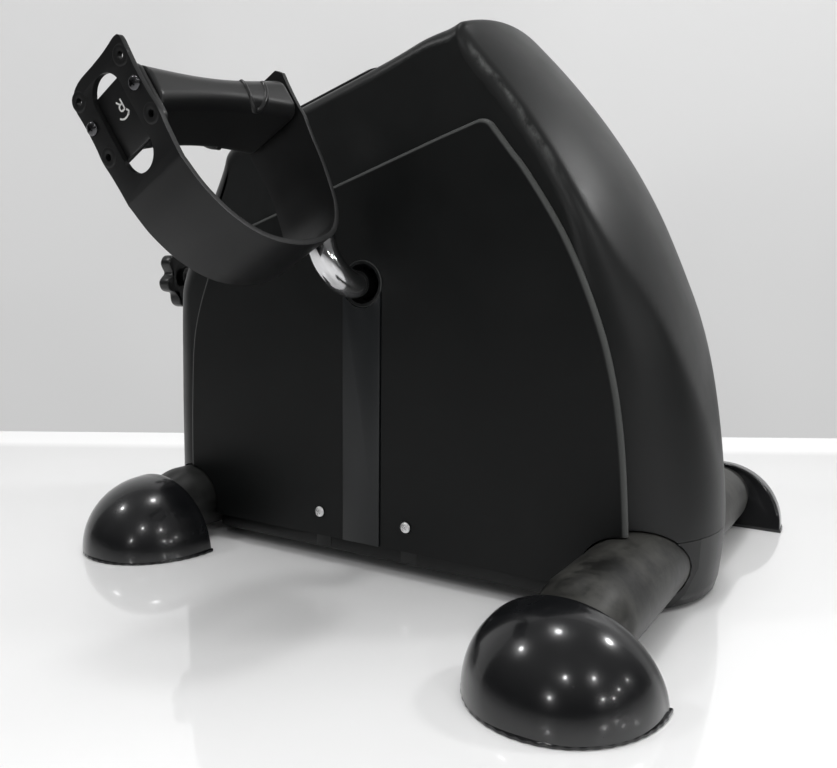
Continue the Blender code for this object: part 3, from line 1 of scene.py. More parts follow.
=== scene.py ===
"""Looks of the under desk pedal exerciser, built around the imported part.

Metres, +Z up, in the part's own frame: the floor is z = 0 and the origin is the middle
of the footprint. -X is the user's side with the tension knob, -Y the user's right.
"""

import json
import math

import bmesh
import bpy
import numpy as np
from mathutils import Matrix, Vector

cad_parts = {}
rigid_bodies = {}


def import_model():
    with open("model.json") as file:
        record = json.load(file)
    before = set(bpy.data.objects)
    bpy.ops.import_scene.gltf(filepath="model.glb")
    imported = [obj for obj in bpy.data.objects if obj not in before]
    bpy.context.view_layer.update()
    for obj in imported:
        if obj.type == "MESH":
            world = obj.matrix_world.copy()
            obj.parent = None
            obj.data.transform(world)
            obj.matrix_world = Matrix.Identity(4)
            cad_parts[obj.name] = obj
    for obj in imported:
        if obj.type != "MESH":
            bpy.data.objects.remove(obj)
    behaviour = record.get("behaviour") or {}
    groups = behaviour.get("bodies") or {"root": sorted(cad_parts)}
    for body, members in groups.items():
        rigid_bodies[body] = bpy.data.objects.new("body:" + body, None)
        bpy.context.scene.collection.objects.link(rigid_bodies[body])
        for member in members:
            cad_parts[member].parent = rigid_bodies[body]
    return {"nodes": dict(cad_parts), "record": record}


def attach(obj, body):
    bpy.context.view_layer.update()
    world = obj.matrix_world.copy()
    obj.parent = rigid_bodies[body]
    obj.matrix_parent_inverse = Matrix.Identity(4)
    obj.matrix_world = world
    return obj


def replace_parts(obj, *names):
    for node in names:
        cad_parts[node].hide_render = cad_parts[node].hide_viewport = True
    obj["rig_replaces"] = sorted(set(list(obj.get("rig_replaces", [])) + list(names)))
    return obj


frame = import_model()
NODES = frame["nodes"]
BODY_OF = {node: body for body, nodes in frame["record"]["behaviour"]["bodies"].items()
           for node in nodes}
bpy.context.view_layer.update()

# Sizes shared with the part's source
GAP = 0.0003
LEG_X = 0.1368
LEG_HALF_WIDTH = 0.0210
LEG_HALF_HEIGHT = 0.0195
LEG_WALL = 0.0016
CAP_SOLE = 0.0022
CAP_COVER = 0.0020
REAR_CAP_BACK = 0.1318
FRONT_CAP_BACK = 0.0895
CAP_HALF_WIDTH = 0.0402
CAP_RIM = 0.0032
CAP_DOME = 0.0450
CAP_RAKE = 0.0090
LEG_INSERT = 0.0140
LEG_END_HALF_WIDTH = 0.0188
LEG_END_HALF_HEIGHT = 0.0172
LEG_NECK = 0.0140
LEG_Z = CAP_SOLE + GAP + LEG_HALF_HEIGHT
LEG_END_Z = CAP_SOLE + GAP + LEG_END_HALF_HEIGHT
CAP_HEIGHT = LEG_END_Z + LEG_END_HALF_HEIGHT + GAP + CAP_COVER
HOUSING_HALF_WIDTH = 0.0645
HOUSING_WALL = 0.0025
SHELL_BOTTOM = 0.0148
SEAM_Z = 0.0350
PANEL_PLANE = 0.0676
PANEL_BEVEL = 0.0044
SLOT_FLANGE_Y = HOUSING_HALF_WIDTH - HOUSING_WALL
CREST = (0.0466, 0.2925)
CREST_ROUND = 0.0040
CONSOLE_FRONT = (-0.1060, 0.2365)
CONSOLE_BACK = (-0.0050, 0.2675)
HUB_X = -0.0078
HUB_Z = 0.1547
ROD_RADIUS = 0.0075
ARM_LENGTH = 0.0852
ARM_ANGLE = 105.7
ARM_PLANE = 0.0945
BEND_RADIUS = 0.0200
AXLE_DROOP = 8.0
AXLE_RADIUS = 0.0050
SHOULDER = 0.0068
SLOT_HALF_WIDTH = 0.0125
SCREW_Z = 0.1580
SCREW_RADIUS = 0.0030
KNOB_FACE_X = -0.2135
KNOB_THICKNESS = 0.0100
KNOB_RADIUS = 0.0222
KNOB_PHASE = 44.0
KNOB_LOBES = 7
KNOB_LOBE_DEPTH = 0.0026
COLLAR_RADIUS = 0.0110
SCREW_SPREAD = 0.0282
HOUSING_SCREW_Z = 0.0281
PEDAL_START = 0.0237
PEDAL_LENGTH = 0.0840
PEDAL_HALF_WIDTH = 0.0190
PEDAL_WAIST = 0.0176
PEDAL_BACK = 0.0085
TREAD_END = 0.0115
TREAD_MID = 0.0082
PEDAL_TURN = -61.0
END_PLATE = 0.0025
STRAP_THICKNESS = 0.0024
MODEL_X = -(KNOB_FACE_X + LEG_X + CAP_HALF_WIDTH) / 2   # the origin is the footprint's middle

HANDS = ((-1, "right"), (1, "left"))
ENDS = (("front", -LEG_X, FRONT_CAP_BACK), ("rear", LEG_X, REAR_CAP_BACK))
SCREWS = (("front", HUB_X - SCREW_SPREAD), ("rear", HUB_X + SCREW_SPREAD))
TO_PART = Matrix.Translation((MODEL_X, 0.0, 0.0))

LOOKS = bpy.data.collections.new("looks")
TOOLS = bpy.data.collections.new("cutters")
bpy.context.scene.collection.children.link(LOOKS)
bpy.context.scene.collection.children.link(TOOLS)


# Node materials

SCUFF_Y = 0.0648          # where the scuffs of the housing's back run
BACK_WORN = (0.085, 0.088, 0.086)
# paler colour painted along the side panels' rounded edges as their highlight
PANEL_EDGE_HIGHLIGHT = (0.085, 0.088, 0.085)


def node(tree, kind, inputs=None, **values):
    """A shader node with its settings and the links or values of its inputs."""
    made = tree.nodes.new(kind)
    for key, value in values.items():
        setattr(made, key, value)
    for key, value in (inputs or {}).items():
        if isinstance(value, bpy.types.NodeSocket):
            tree.links.new(value, made.inputs[key])
        else:
            made.inputs[key].default_value = value
    return made


def ramp(tree, factor, stops):
    """A colour ramp from (position, grey or colour) stops."""
    made = node(tree, "ShaderNodeValToRGB", {"Fac": factor})
    line = made.color_ramp
    while len(line.elements) < len(stops):
        line.elements.new(0.5)
    for element, (place, value) in zip(line.elements, stops):
        element.position = place
        colour = value if isinstance(value, tuple) else (value, value, value)
        element.color = (*colour, 1.0)
    return made.outputs["Color"]


def mix(tree, factor, first, second):
    """A blend of two colours, each a link or its linear red, green and blue."""
    colours = [value if isinstance(value, bpy.types.NodeSocket) else (*value, 1.0)
               for value in (first, second)]
    made = node(tree, "ShaderNodeMix", dict(zip((0, 6, 7), [factor] + colours)),
                data_type="RGBA")
    return made.outputs[2]


def maths(tree, operation, *values, clamp=False):
    """The result of a mathematical operation on links and numbers."""
    made = node(tree, "ShaderNodeMath", dict(enumerate(values)), operation=operation,
                use_clamp=clamp)
    return made.outputs[0]


def mask(tree, factor, low, high):
    """0 up to low, 1 from high on."""
    return ramp(tree, factor, ((low, 0.0), (high, 1.0)))


def laid_over(tree, tone, cover, share, colour):
    """The tone with a share of another colour over it wherever the cover is 1."""
    return mix(tree, maths(tree, "MULTIPLY", cover, share), tone, colour)


def axis_of(tree, vector, axis):
    """One component of a vector."""
    return node(tree, "ShaderNodeSeparateXYZ", {"Vector": vector}).outputs[axis]


def noise(tree, where, scale, detail=4.0, roughness=0.55, stretch=None):
    """A noise over the object's own metres, drawn out along an axis if stretch is given."""
    if stretch is not None:
        where = node(tree, "ShaderNodeMapping", {"Vector": where, "Scale": stretch}).outputs[0]
    made = node(tree, "ShaderNodeTexNoise", {"Vector": where, "Scale": scale, "Detail": detail,
                                             "Roughness": roughness})
    return made.outputs["Fac"]


def bumps(tree, layers):
    """Stacked bumps from (height, strength, distance) layers."""
    normal = None
    for height, strength, distance in layers:
        inputs = {"Height": height, "Strength": strength, "Distance": distance}
        if normal is not None:
            inputs["Normal"] = normal
        normal = node(tree, "ShaderNodeBump", inputs).outputs[0]
    return normal


def start(name, metallic=0.0, coat=0.0, coat_roughness=0.1, specular=0.5):
    """A new material with its tree, its shader and the object's own coordinates."""
    made = bpy.data.materials.new(name)
    made.use_nodes = True
    tree = made.node_tree
    shader = tree.nodes["Principled BSDF"]
    shader.inputs["Metallic"].default_value = metallic
    shader.inputs["Coat Weight"].default_value = coat
    shader.inputs["Coat Roughness"].default_value = coat_roughness
    shader.inputs["Specular IOR Level"].default_value = specular
    where = node(tree, "ShaderNodeTexCoord").outputs["Object"]
    return made, tree, shader, where


def wire(tree, shader, colour, rough, normal):
    """Link colour, roughness and normal to the shader."""
    for key, value in (("Base Color", colour), ("Roughness", rough), ("Normal", normal)):
        tree.links.new(value, shader.inputs[key])


def painted_edge_highlight(tree, where, tone):
    """Painted highlight: paler plastic where a flat panel turns over its rounded edge."""
    facing = node(tree, "ShaderNodeNewGeometry").outputs["Normal"]
    flat = maths(tree, "ABSOLUTE", axis_of(tree, facing, "Y"))
    edge_highlight_share = ramp(tree, flat, ((0.35, 0.85), (0.90, 0.60), (0.985, 0.0)))
    return mix(tree, edge_highlight_share, tone, PANEL_EDGE_HIGHLIGHT)


def back_scuffs(tree, where, tone):
    """Thin broken scuffs along both long edges of the housing's upper back."""
    side = maths(tree, "ABSOLUTE", axis_of(tree, where, "Y"))
    drift = maths(tree, "MULTIPLY", noise(tree, where, 30.0, 3.0), 0.0050)
    off = maths(tree, "SUBTRACT", maths(tree, "ADD", side, drift), SCUFF_Y)
    amount = ramp(tree, maths(tree, "MULTIPLY", maths(tree, "ABSOLUTE", off), 250.0),
                  ((0.08, 1.0), (0.40, 0.0)))
    facing = node(tree, "ShaderNodeNewGeometry").outputs["Normal"]
    rear = mask(tree, axis_of(tree, facing, "X"), 0.20, 0.45)
    height = ramp(tree, axis_of(tree, where, "Z"),
                  ((0.200, 0.0), (0.222, 1.0), (0.262, 1.0), (0.275, 0.0)))
    broken = mask(tree, noise(tree, where, 190.0, 5.0, 0.7, (1.0, 1.0, 0.4)), 0.40, 0.62)
    for factor in (rear, height, broken):
        amount = maths(tree, "MULTIPLY", amount, factor)
    return laid_over(tree, tone, amount, 0.75, BACK_WORN)


def moulded(name, dark, light, rough, grain=1500.0, grain_depth=0.00006, scuffs=0.5, specular=0.5,
            extra=None):
    """Moulded plastic: fine grain, cloudy sheen, light rub marks and dust specks."""
    made, tree, shader, where = start(name, specular=specular)
    rub = mask(tree, noise(tree, where, 26.0, 6.0, 0.65, (1.0, 1.0, 0.16)), 0.60, 0.78)
    dust = mask(tree, noise(tree, where, 900.0, 2.0), 0.70, 0.78)
    tone = mix(tree, mask(tree, noise(tree, where, 9.0, 5.0), 0.30, 0.70), dark, light)
    worn = tuple(min(1.0, value * 3.2 + 0.004) for value in light)
    tone = laid_over(tree, tone, rub, 0.35 * scuffs, worn)
    tone = laid_over(tree, tone, dust, 0.20 * scuffs, worn)
    if extra is not None:
        tone = extra(tree, where, tone)
    sheen = maths(tree, "MULTIPLY_ADD", noise(tree, where, 38.0, 3.0), 0.16, rough - 0.08)
    normal = bumps(tree, ((noise(tree, where, 22.0, 2.0), 0.25, 0.0006),
                          (noise(tree, where, grain, 2.0, 0.6), 0.55, grain_depth),
                          (rub, 0.2 * scuffs, 0.00004)))
    wire(tree, shader, tone, sheen, normal)
    return made


def glossy(name, dark, rough, scratches=0.4):
    """Polished plastic with hairline scratches, handling marks and a little dust."""
    made, tree, shader, where = start(name, coat=0.50, coat_roughness=0.08)
    smear = noise(tree, where, 30.0, 5.0, 0.6)
    hair = mask(tree, noise(tree, where, 240.0, 3.0, 0.6, (1.0, 0.06, 0.5)), 0.64, 0.72)
    speck = mask(tree, noise(tree, where, 700.0, 2.0), 0.71, 0.80)
    tone = laid_over(tree, dark, speck, 0.3, (0.10, 0.10, 0.10))
    tone = laid_over(tree, tone, mask(tree, smear, 0.48, 0.75), 0.35, (0.015, 0.0155, 0.017))
    sheen = maths(tree, "MULTIPLY_ADD", smear, 0.20, rough - 0.07)
    normal = bumps(tree, ((noise(tree, where, 55.0, 2.0), 0.45, 0.0006),
                          (hair, scratches, 0.00003)))
    wire(tree, shader, tone, sheen, normal)
    return made


def painted(name, dark, light, rough):
    """Painted steel that has been handled: scuffs, chips, rubbed patches and dents."""
    made, tree, shader, where = start(name, metallic=0.15)
    patch = noise(tree, where, 42.0, 7.0, 0.68)
    scuff = mask(tree, noise(tree, where, 120.0, 5.0, 0.7, (0.5, 0.16, 0.5)), 0.60, 0.72)
    chip = mask(tree, noise(tree, where, 330.0, 3.0, 0.5), 0.69, 0.73)
    tone = mix(tree, mask(tree, patch, 0.41, 0.60), dark, light)
    tone = laid_over(tree, tone, scuff, 0.45, (0.085, 0.085, 0.078))
    tone = laid_over(tree, tone, chip, 0.5, (0.012, 0.012, 0.012))
    sheen = maths(tree, "MULTIPLY_ADD", patch, 0.30, rough - 0.12)
    normal = bumps(tree, ((noise(tree, where, 48.0, 3.0, 0.5), 0.5, 0.0010),
                          (scuff, 0.35, 0.00006),
                          (noise(tree, where, 1300.0, 2.0), 0.35, 0.00005)))
    wire(tree, shader, tone, sheen, normal)
    return made


def metal(name, colour, rough, brushed=(1.0, 1.0, 1.0), scale=700.0, depth=0.00004):
    """Bare or plated metal with fine machining marks and faint stains."""
    made, tree, shader, where = start(name, metallic=1.0)
    mark = noise(tree, where, scale, 3.0, 0.6, brushed)
    cloud = noise(tree, where, 60.0, 4.0)
    dull = tuple(value * 0.62 for value in colour)
    tone = laid_over(tree, colour, mask(tree, cloud, 0.45, 0.70), 0.25, dull)
    sheen = maths(tree, "MULTIPLY_ADD", cloud, 0.16, rough - 0.06)
    wire(tree, shader, tone, sheen, bumps(tree, ((mark, 0.4, depth),)))
    return made


PAINTS = {
    "housing_black": moulded("housing_plastic", (0.0040, 0.0046, 0.0046), (0.0066, 0.0072, 0.0072),
                             0.40, scuffs=0.6, specular=0.34, extra=back_scuffs),
    # the side panels' plastic, with a painted highlight along their rounded edges
    "panel_black": moulded("panel_plastic_edge_highlight", (0.0022, 0.0027, 0.0027), (0.0037, 0.0043, 0.0043),
                           0.44, scuffs=0.35, specular=0.27, extra=painted_edge_highlight),
    "strip_black": moulded("slot_cover_plastic", (0.0062, 0.0074, 0.0084),
                           (0.0100, 0.0115, 0.0125), 0.38, scuffs=0.4, specular=0.50),
    # near-black bush plastic, darkened further as painted shade for the gap round the crank rod
    "bush_black": moulded("bush_plastic_painted_shade", (0.0016, 0.0016, 0.0017), (0.0026, 0.0026, 0.0027), 0.55,
                          scuffs=0.1, specular=0.15),
    # plated studs given a dark colour for the dark surroundings they reflect: painted reflection
    "stud_dark": metal("stud_plate_painted_dark", (0.10, 0.10, 0.105), 0.14, scale=300.0),
    # plated screw heads made brighter than the zinc to stand for the light they catch: painted
    # highlight
    "screw_bright": metal("screw_plate_painted_bright", (0.97, 0.97, 0.97), 0.42, scale=300.0),
    "satin_black": moulded("satin_plastic", (0.0055, 0.0056, 0.0058), (0.0085, 0.0086, 0.0088),
                           0.34, 2200.0, 0.00003, 0.35),
    "strap_black": moulded("strap_plastic", (0.0050, 0.0051, 0.0053), (0.0077, 0.0079, 0.0082),
                           0.40, 1800.0, 0.00003, 0.20, specular=0.32),
    "rubber": moulded("belt_rubber", (0.012, 0.012, 0.012), (0.02, 0.02, 0.02), 0.70),
    "gloss_black": glossy("cap_plastic", (0.0034, 0.0037, 0.0044), 0.21),
    "leg_paint": painted("leg_paint_scuffed", (0.0085, 0.0086, 0.0080),
                         (0.0440, 0.0435, 0.0395), 0.42),
    # a darker copy of the leg paint for the front leg, which lies in shade: painted shade
    "leg_shade": painted("leg_paint_painted_shade", (0.006, 0.0063, 0.006), (0.014, 0.0145, 0.0138),
                         0.42),
    "frame_paint": painted("frame_paint_plain", (0.016, 0.016, 0.017), (0.028, 0.028, 0.029),
                           0.45),
    "chrome": metal("crank_chrome", (0.66, 0.66, 0.67), 0.10, scale=160.0, depth=0.00003),
    "zinc": metal("zinc_plate", (0.60, 0.61, 0.62), 0.26),
    "steel": metal("ground_steel", (0.45, 0.46, 0.48), 0.30, (1.0, 0.1, 1.0)),
    "cast_iron": metal("cast_iron_grey", (0.20, 0.20, 0.21), 0.55, depth=0.00020),
    "magnet": metal("magnet_dull", (0.22, 0.22, 0.24), 0.42),
    "lens": glossy("lens_clear", (0.035, 0.040, 0.038), 0.10, 0.1),
    "button_grey": moulded("button_plastic", (0.20, 0.21, 0.22), (0.26, 0.27, 0.28), 0.40,
                           scuffs=0.2),
    "nylon": moulded("bearing_nylon", (0.66, 0.65, 0.61), (0.72, 0.71, 0.67), 0.45, scuffs=0.1),
    "white_mark": moulded("mark_white", (0.62, 0.62, 0.60), (0.72, 0.72, 0.70), 0.5, scuffs=0.2),
}


# Modelling helpers

def shade(mesh, degrees):
    """Smooth shading, with sharp edges from an angle on."""
    mesh.shade_smooth()
    mesh.set_sharp_from_angle(angle=math.radians(degrees))


def from_bmesh(name, shape, paint=None, degrees=35.0):
    """A piece of the part from a finished bmesh, or a cutter when it has no paint."""
    mesh = bpy.data.meshes.new(name)
    bmesh.ops.recalc_face_normals(shape, faces=shape.faces)
    shape.to_mesh(mesh)
    shape.free()
    item = bpy.data.objects.new(name, mesh)
    if paint is None:
        TOOLS.objects.link(item)
        item.hide_render = True
        item.display_type = "WIRE"
    else:
        LOOKS.objects.link(item)
        mesh.materials.clear()
        mesh.materials.append(PAINTS[paint])
        item["paint"] = paint
    shade(mesh, degrees)
    return item


def stands_for(item, *nodes, body=None):
    """The piece takes the place of these nodes and rides on their body."""
    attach(item, body or BODY_OF[nodes[0]])
    if nodes:
        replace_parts(item, *nodes)


def to_part(item, matrix=TO_PART):
    """Move a mesh from the frame it was drawn in to the part's."""
    item.data.transform(matrix)
    return item


def block(name, x, y, z):
    """A box cutter between pairs of bounds."""
    shape = bmesh.new()
    bmesh.ops.create_cube(shape, size=1.0)
    bmesh.ops.scale(shape, vec=(x[1] - x[0], y[1] - y[0], z[1] - z[0]), verts=shape.verts)
    middle = ((x[0] + x[1]) / 2, (y[0] + y[1]) / 2, (z[0] + z[1]) / 2)
    bmesh.ops.translate(shape, vec=middle, verts=shape.verts)
    return from_bmesh(name, shape)


def loft(name, rings, paint=None, degrees=35.0, quads=True):
    """A closed skin through rings of equal point count."""
    shape = bmesh.new()
    rows = [[shape.verts.new(point) for point in ring] for ring in rings]
    count = len(rows[0])
    for near, far in zip(rows, rows[1:]):
        for index in range(count):
            after = (index + 1) % count
            shape.faces.new((near[index], near[after], far[after], far[index]))
    shape.faces.new(rows[0])
    shape.faces.new(rows[-1])
    if not quads:
        bmesh.ops.triangulate(shape, faces=shape.faces)
    return from_bmesh(name, shape, paint, degrees)


def frames_along(points):
    """A line's points, tangents and sideways directions, these carried along untwisted."""
    points = [Vector(point) for point in points]
    tangents = []
    for index in range(len(points)):
        before = points[max(index - 1, 0)]
        after = points[min(index + 1, len(points) - 1)]
        tangents.append((after - before).normalized())
    side = tangents[0].orthogonal().normalized()
    sides = [side]
    for before, after in zip(tangents, tangents[1:]):
        side = before.rotation_difference(after) @ side
        side = (side - after * side.dot(after)).normalized()
        sides.append(side)
    return points, tangents, sides


def circle(count, radius):
    """Points round a circle."""
    turns = [2 * math.pi * step / count for step in range(count)]
    return [(radius * math.cos(angle), radius * math.sin(angle)) for angle in turns]


def tube(name, points, radii, paint=None, sides=32):
    """A round bar that follows points."""
    points, tangents, across = frames_along(points)
    rings = [[point + side * right + tangent.cross(side) * up
              for right, up in circle(sides, radius)]
             for point, tangent, side, radius in zip(points, tangents, across, radii)]
    return loft(name, rings, paint, 50.0)


def rod(name, begin, end, radius, sides=48, oval=None):
    """A round or oval bar cutter between two points."""
    begin = Vector(begin)
    end = Vector(end)
    shape = bmesh.new()
    bmesh.ops.create_cone(shape, cap_ends=True, segments=sides, radius1=radius, radius2=radius,
                          depth=(end - begin).length)
    if oval is not None:
        bmesh.ops.scale(shape, vec=(oval[0] / radius, oval[1] / radius, 1.0), verts=shape.verts)
    turn = (end - begin).to_track_quat("Z", "Y").to_matrix().to_4x4()
    bmesh.ops.transform(shape, matrix=Matrix.Translation((begin + end) / 2) @ turn,
                        verts=shape.verts)
    return from_bmesh(name, shape)


def turned(name, profile, place, direction, paint, steps=48):
    """A profile of (radius, distance) pairs turned about an axis; radius 0 closes it."""
    turn = Vector(direction).to_track_quat("Z", "Y").to_matrix().to_4x4()
    matrix = Matrix.Translation(place) @ turn
    shape = bmesh.new()
    rows = [[shape.verts.new(matrix @ Vector((x, y, distance)))
             for x, y in (circle(steps, radius) if radius else [(0.0, 0.0)])]
            for radius, distance in profile]
    if len(rows[0]) > 1:
        rows.append(rows[0])
    for near, far in zip(rows, rows[1:]):
        for index in range(steps):
            after = (index + 1) % steps
            corners = [near[index % len(near)], near[after % len(near)],
                       far[after % len(far)], far[index % len(far)]]
            face = list(dict.fromkeys(corners))
            if len(face) > 2:
                shape.faces.new(face)
    return from_bmesh(name, shape, paint)


def prism(name, outline, plane, low, high, paint=None):
    """A flat outline extruded along the axis that its plane leaves out."""
    order = {"XY": lambda a, b, c: (a, b, c), "XZ": lambda a, b, c: (a, c, b),
             "YZ": lambda a, b, c: (c, a, b)}[plane]
    rings = [[order(first, second, level) for first, second in outline] for level in (low, high)]
    return loft(name, rings, paint)


def change(item, tool, operation, solver="EXACT"):
    """A boolean modifier."""
    step = item.modifiers.new(tool.name, "BOOLEAN")
    step.operation = operation
    step.object = tool
    step.solver = solver


def cut(item, tool):
    """Cut a tool out of a piece."""
    change(item, tool, "DIFFERENCE")


def cut_fast(item, tool):
    """Cut a closed tool out of a closed piece."""
    change(item, tool, "DIFFERENCE", "MANIFOLD")


def bevel(item, width, segments, angle=35.0):
    """Round the edges that are sharper than an angle."""
    step = item.modifiers.new("rounded", "BEVEL")
    step.width = width
    step.segments = segments
    step.limit_method = "ANGLE"
    step.angle_limit = math.radians(angle)


def settle(item, degrees=35.0):
    """Apply the modifiers and shade smooth up to an angle."""
    bpy.context.view_layer.update()
    graph = bpy.context.evaluated_depsgraph_get()
    mesh = bpy.data.meshes.new_from_object(item.evaluated_get(graph))
    item.modifiers.clear()
    item.data = mesh
    shade(mesh, degrees)


def soften(item):
    """Flat faces shade flat and the roundings between them shade as one curve."""
    step = item.modifiers.new("shading", "WEIGHTED_NORMAL")
    step.mode = "FACE_AREA"
    step.keep_sharp = True


def cross_recess(item, bar, place, axis, degrees):
    """Cut a cross: a bar turned to an angle and the same bar a quarter turn on."""
    for angle in (degrees, degrees + 90.0):
        tool = block("cross", *bar)
        to_part(tool, place @ Matrix.Rotation(math.radians(angle), 4, axis))
        cut(item, tool)
    settle(item)


def polar(radius, degrees, centre=(0.0, 0.0)):
    """A point at a radius and an angle from a centre."""
    angle = math.radians(degrees)
    return (centre[0] + radius * math.cos(angle), centre[1] + radius * math.sin(angle))


def arc(centre, radius, begin, end, count):
    """Points along a circle's arc, its ends given in degrees."""
    return [polar(radius, begin + (end - begin) * step / count, centre)
            for step in range(count + 1)]


def spline_through(points, steps):
    """A smooth curve through points, with a number of steps between each two."""
    data = np.array(points, float)
    ends = np.vstack([2 * data[0] - data[1], data, 2 * data[-1] - data[-2]])
    line = []
    for index in range(1, len(ends) - 2):
        before, first, second, after = ends[index - 1:index + 3]
        for step in range(steps):
            t = step / steps
            line.append(0.5 * (2 * first + (second - before) * t
                               + (2 * before - 5 * first + 4 * second - after) * t * t
                               + (3 * first - before - 3 * second + after) * t ** 3))
    line.append(data[-1])
    return np.array(line)


def bezier(p0, p1, p2, p3, steps):
    """A cubic Bezier curve."""
    t = np.linspace(0.0, 1.0, steps + 1)[:, None]
    p0, p1, p2, p3 = (np.array(point, float) for point in (p0, p1, p2, p3))
    return (1 - t) ** 3 * p0 + 3 * (1 - t) ** 2 * t * p1 + 3 * (1 - t) * t * t * p2 + t ** 3 * p3


def ease(value):
    """A soft step from 0 to 1."""
    value = np.clip(value, 0.0, 1.0)
    return value * value * (3 - 2 * value)


def distances(line):
    """How far along a line each of its points is."""
    return np.concatenate([[0.0], np.cumsum(np.linalg.norm(np.diff(line, axis=0), axis=1))])


# Housing

FINE = 4                  # steps per stretch of an outline, in each curve's own multiple
FRONT_LINE = ((-0.1715, SHELL_BOTTOM), (-0.1720, SEAM_Z), (-0.1710, 0.1060), (-0.1660, 0.1450),
              (-0.1580, 0.1660), (-0.1306, 0.2060), (-0.1160, 0.2292))
FRONT_CORNER = (-0.1128, 0.2343)
RISE_LINE = (CONSOLE_BACK, (0.0158, 0.2738), (0.0330, 0.2828))
BACK_MIDDLE = (0.1231, 0.1937)
BACK_SLOPE = 63.2
BACK_BOTTOM_X = 0.1661
FRONT_EDGE = 0.0110
CONSOLE_EDGE = 0.0070
FRONT_BULGE = 0.0235
BULGE_X = (-0.0050, 0.0220, 0.0350, 0.0480)
BULGE = (0.0030, 0.0010, 0.0070, 0.0151)
BACK_EDGE_TOP = 0.0060
BACK_EDGE_LOW = 0.0640
BACK_EDGE_RANGE = (0.2082, 0.0500)
NORMAL_SPREAD = 0.0235
EDGE_SPREAD = 0.0075
HULL_RINGS = 53
SKIN = 0.0042             # wall of the outer skin, clear of its folds
CREST_PULL = 0.7          # how far towards the crest the handles of its rounding reach
BACK_HANDLE = 0.0576      # from the middle of the back uphill
TAIL_HANDLES = (0.0400, 0.0464)   # from the middle downhill, and from the seam upwards
FRONT_FADE = (0.10, 0.13) # where the front's bulge starts to fade, and over what height
FRONT_BULGE_TOP = 0.0080
SCREW_HOLE = 0.0018
SCREW_RECESS = 0.0037     # radius of the shallow seat round a housing screw
DISPLAY_OPENING = (0.0405, 0.0445, 0.02)   # half sizes of the cutter
HULL_CORNER = ((-0.2, -0.088), (0.046, 0.1), (0.125, 0.235))   # the cutter would fold here
BEYOND = 0.1              # past the part's width
OUTSIDE = 0.09            # past the side panels
UNDER = -0.02             # below the floor
FOOT_CUT = ((-0.3, 0.3), (-BEYOND, BEYOND), (UNDER, SHELL_BOTTOM))
HULL_BASE = 0.004         # where the hull starts, before its foot is cut flat
PANEL_BASE = 0.002
COLLAR_WAY = COLLAR_RADIUS - 0.0027
LEG_SIDES = 96
NECK_STEPS = 12
FOLD_DEPTH = 0.0007       # the creases where a leg narrows


def unit(vector):
    """The vector's direction."""
    return vector / np.linalg.norm(vector)


def hull_line():
    """The housing's outline seen from the side, and the number of its front points."""
    slope = math.radians(BACK_SLOPE)
    downhill = np.array((math.cos(slope), -math.sin(slope)))
    middle = np.array(BACK_MIDDLE)
    front = spline_through(FRONT_LINE, 2 * FINE)
    corner = bezier(FRONT_LINE[-1], FRONT_CORNER, FRONT_CORNER, CONSOLE_FRONT, 4 * FINE)
    console = np.linspace(CONSOLE_FRONT, CONSOLE_BACK, 3 * FINE)
    crest = np.array(CREST)
    uphill = middle - BACK_HANDLE * downhill
    rise_end = crest - CREST_ROUND * unit(crest - np.array(RISE_LINE[-1]))
    back_start = crest + CREST_ROUND * unit(uphill - crest)
    rise = spline_through(RISE_LINE + (tuple(rise_end),), 2 * FINE)
    top = bezier(rise_end, rise_end + CREST_PULL * (crest - rise_end),
                 back_start + CREST_PULL * (crest - back_start), back_start, 3 * FINE)
    back = bezier(back_start, 2 * back_start - crest, uphill, middle, 6 * FINE)
    tail = bezier(middle, middle + TAIL_HANDLES[0] * downhill,
                  (BACK_BOTTOM_X, SEAM_Z + TAIL_HANDLES[1]), (BACK_BOTTOM_X, SEAM_Z), 7 * FINE)
    line = [front, corner[1:], console[1:], rise[1:], top[1:], back[1:], tail[1:],
            np.array([(BACK_BOTTOM_X, SHELL_BOTTOM)])]
    return np.vstack(line), len(front) + 3 * FINE


def smoothing(along, width):
    """Weights that spread each point's value over its neighbours along the line."""
    away = (along[:, None] - along[None, :]) / width
    return np.exp(-0.5 * away ** 2) * np.gradient(along)


def hull_shape():
    """The outline with its normals, edge rounding (depth and width) and bulge at each point."""
    line, front_end = hull_line()
    height = line[:, 1]
    front_share = ease((height - FRONT_FADE[0]) / FRONT_FADE[1])
    depth = np.full(len(line), CONSOLE_EDGE)
    width = np.full(len(line), CONSOLE_EDGE)
    bulge = np.interp(line[:, 0], BULGE_X, BULGE)
    depth[:front_end] = FRONT_EDGE
    width[:front_end] = FRONT_EDGE
    bulge[:front_end] = FRONT_BULGE + (FRONT_BULGE_TOP - FRONT_BULGE) * front_share[:front_end]
    back = slice(int(np.argmax(height)) + FINE, len(line))
    high, low = BACK_EDGE_RANGE
    share = ease((high - height[back]) / (high - low))
    depth[back] = BACK_EDGE_TOP + (BACK_EDGE_LOW - BACK_EDGE_TOP) * share
    width[back] = BACK_EDGE_TOP + (HOUSING_HALF_WIDTH - BACK_EDGE_TOP) * share
    bulge[back] *= 1 - share
    along = distances(line)
    tangent = np.gradient(line, along, axis=0)
    normal = smoothing(along, NORMAL_SPREAD) @ np.stack([-tangent[:, 1], tangent[:, 0]], axis=1)
    normal[0] = (-1.0, 0.0)
    normal[-1] = (1.0, 0.0)
    normal /= np.linalg.norm(normal, axis=1)[:, None]
    spread = smoothing(along, EDGE_SPREAD)
    spread /= spread.sum(axis=1)[:, None]
    return line, normal, spread @ depth, spread @ width, spread @ bulge


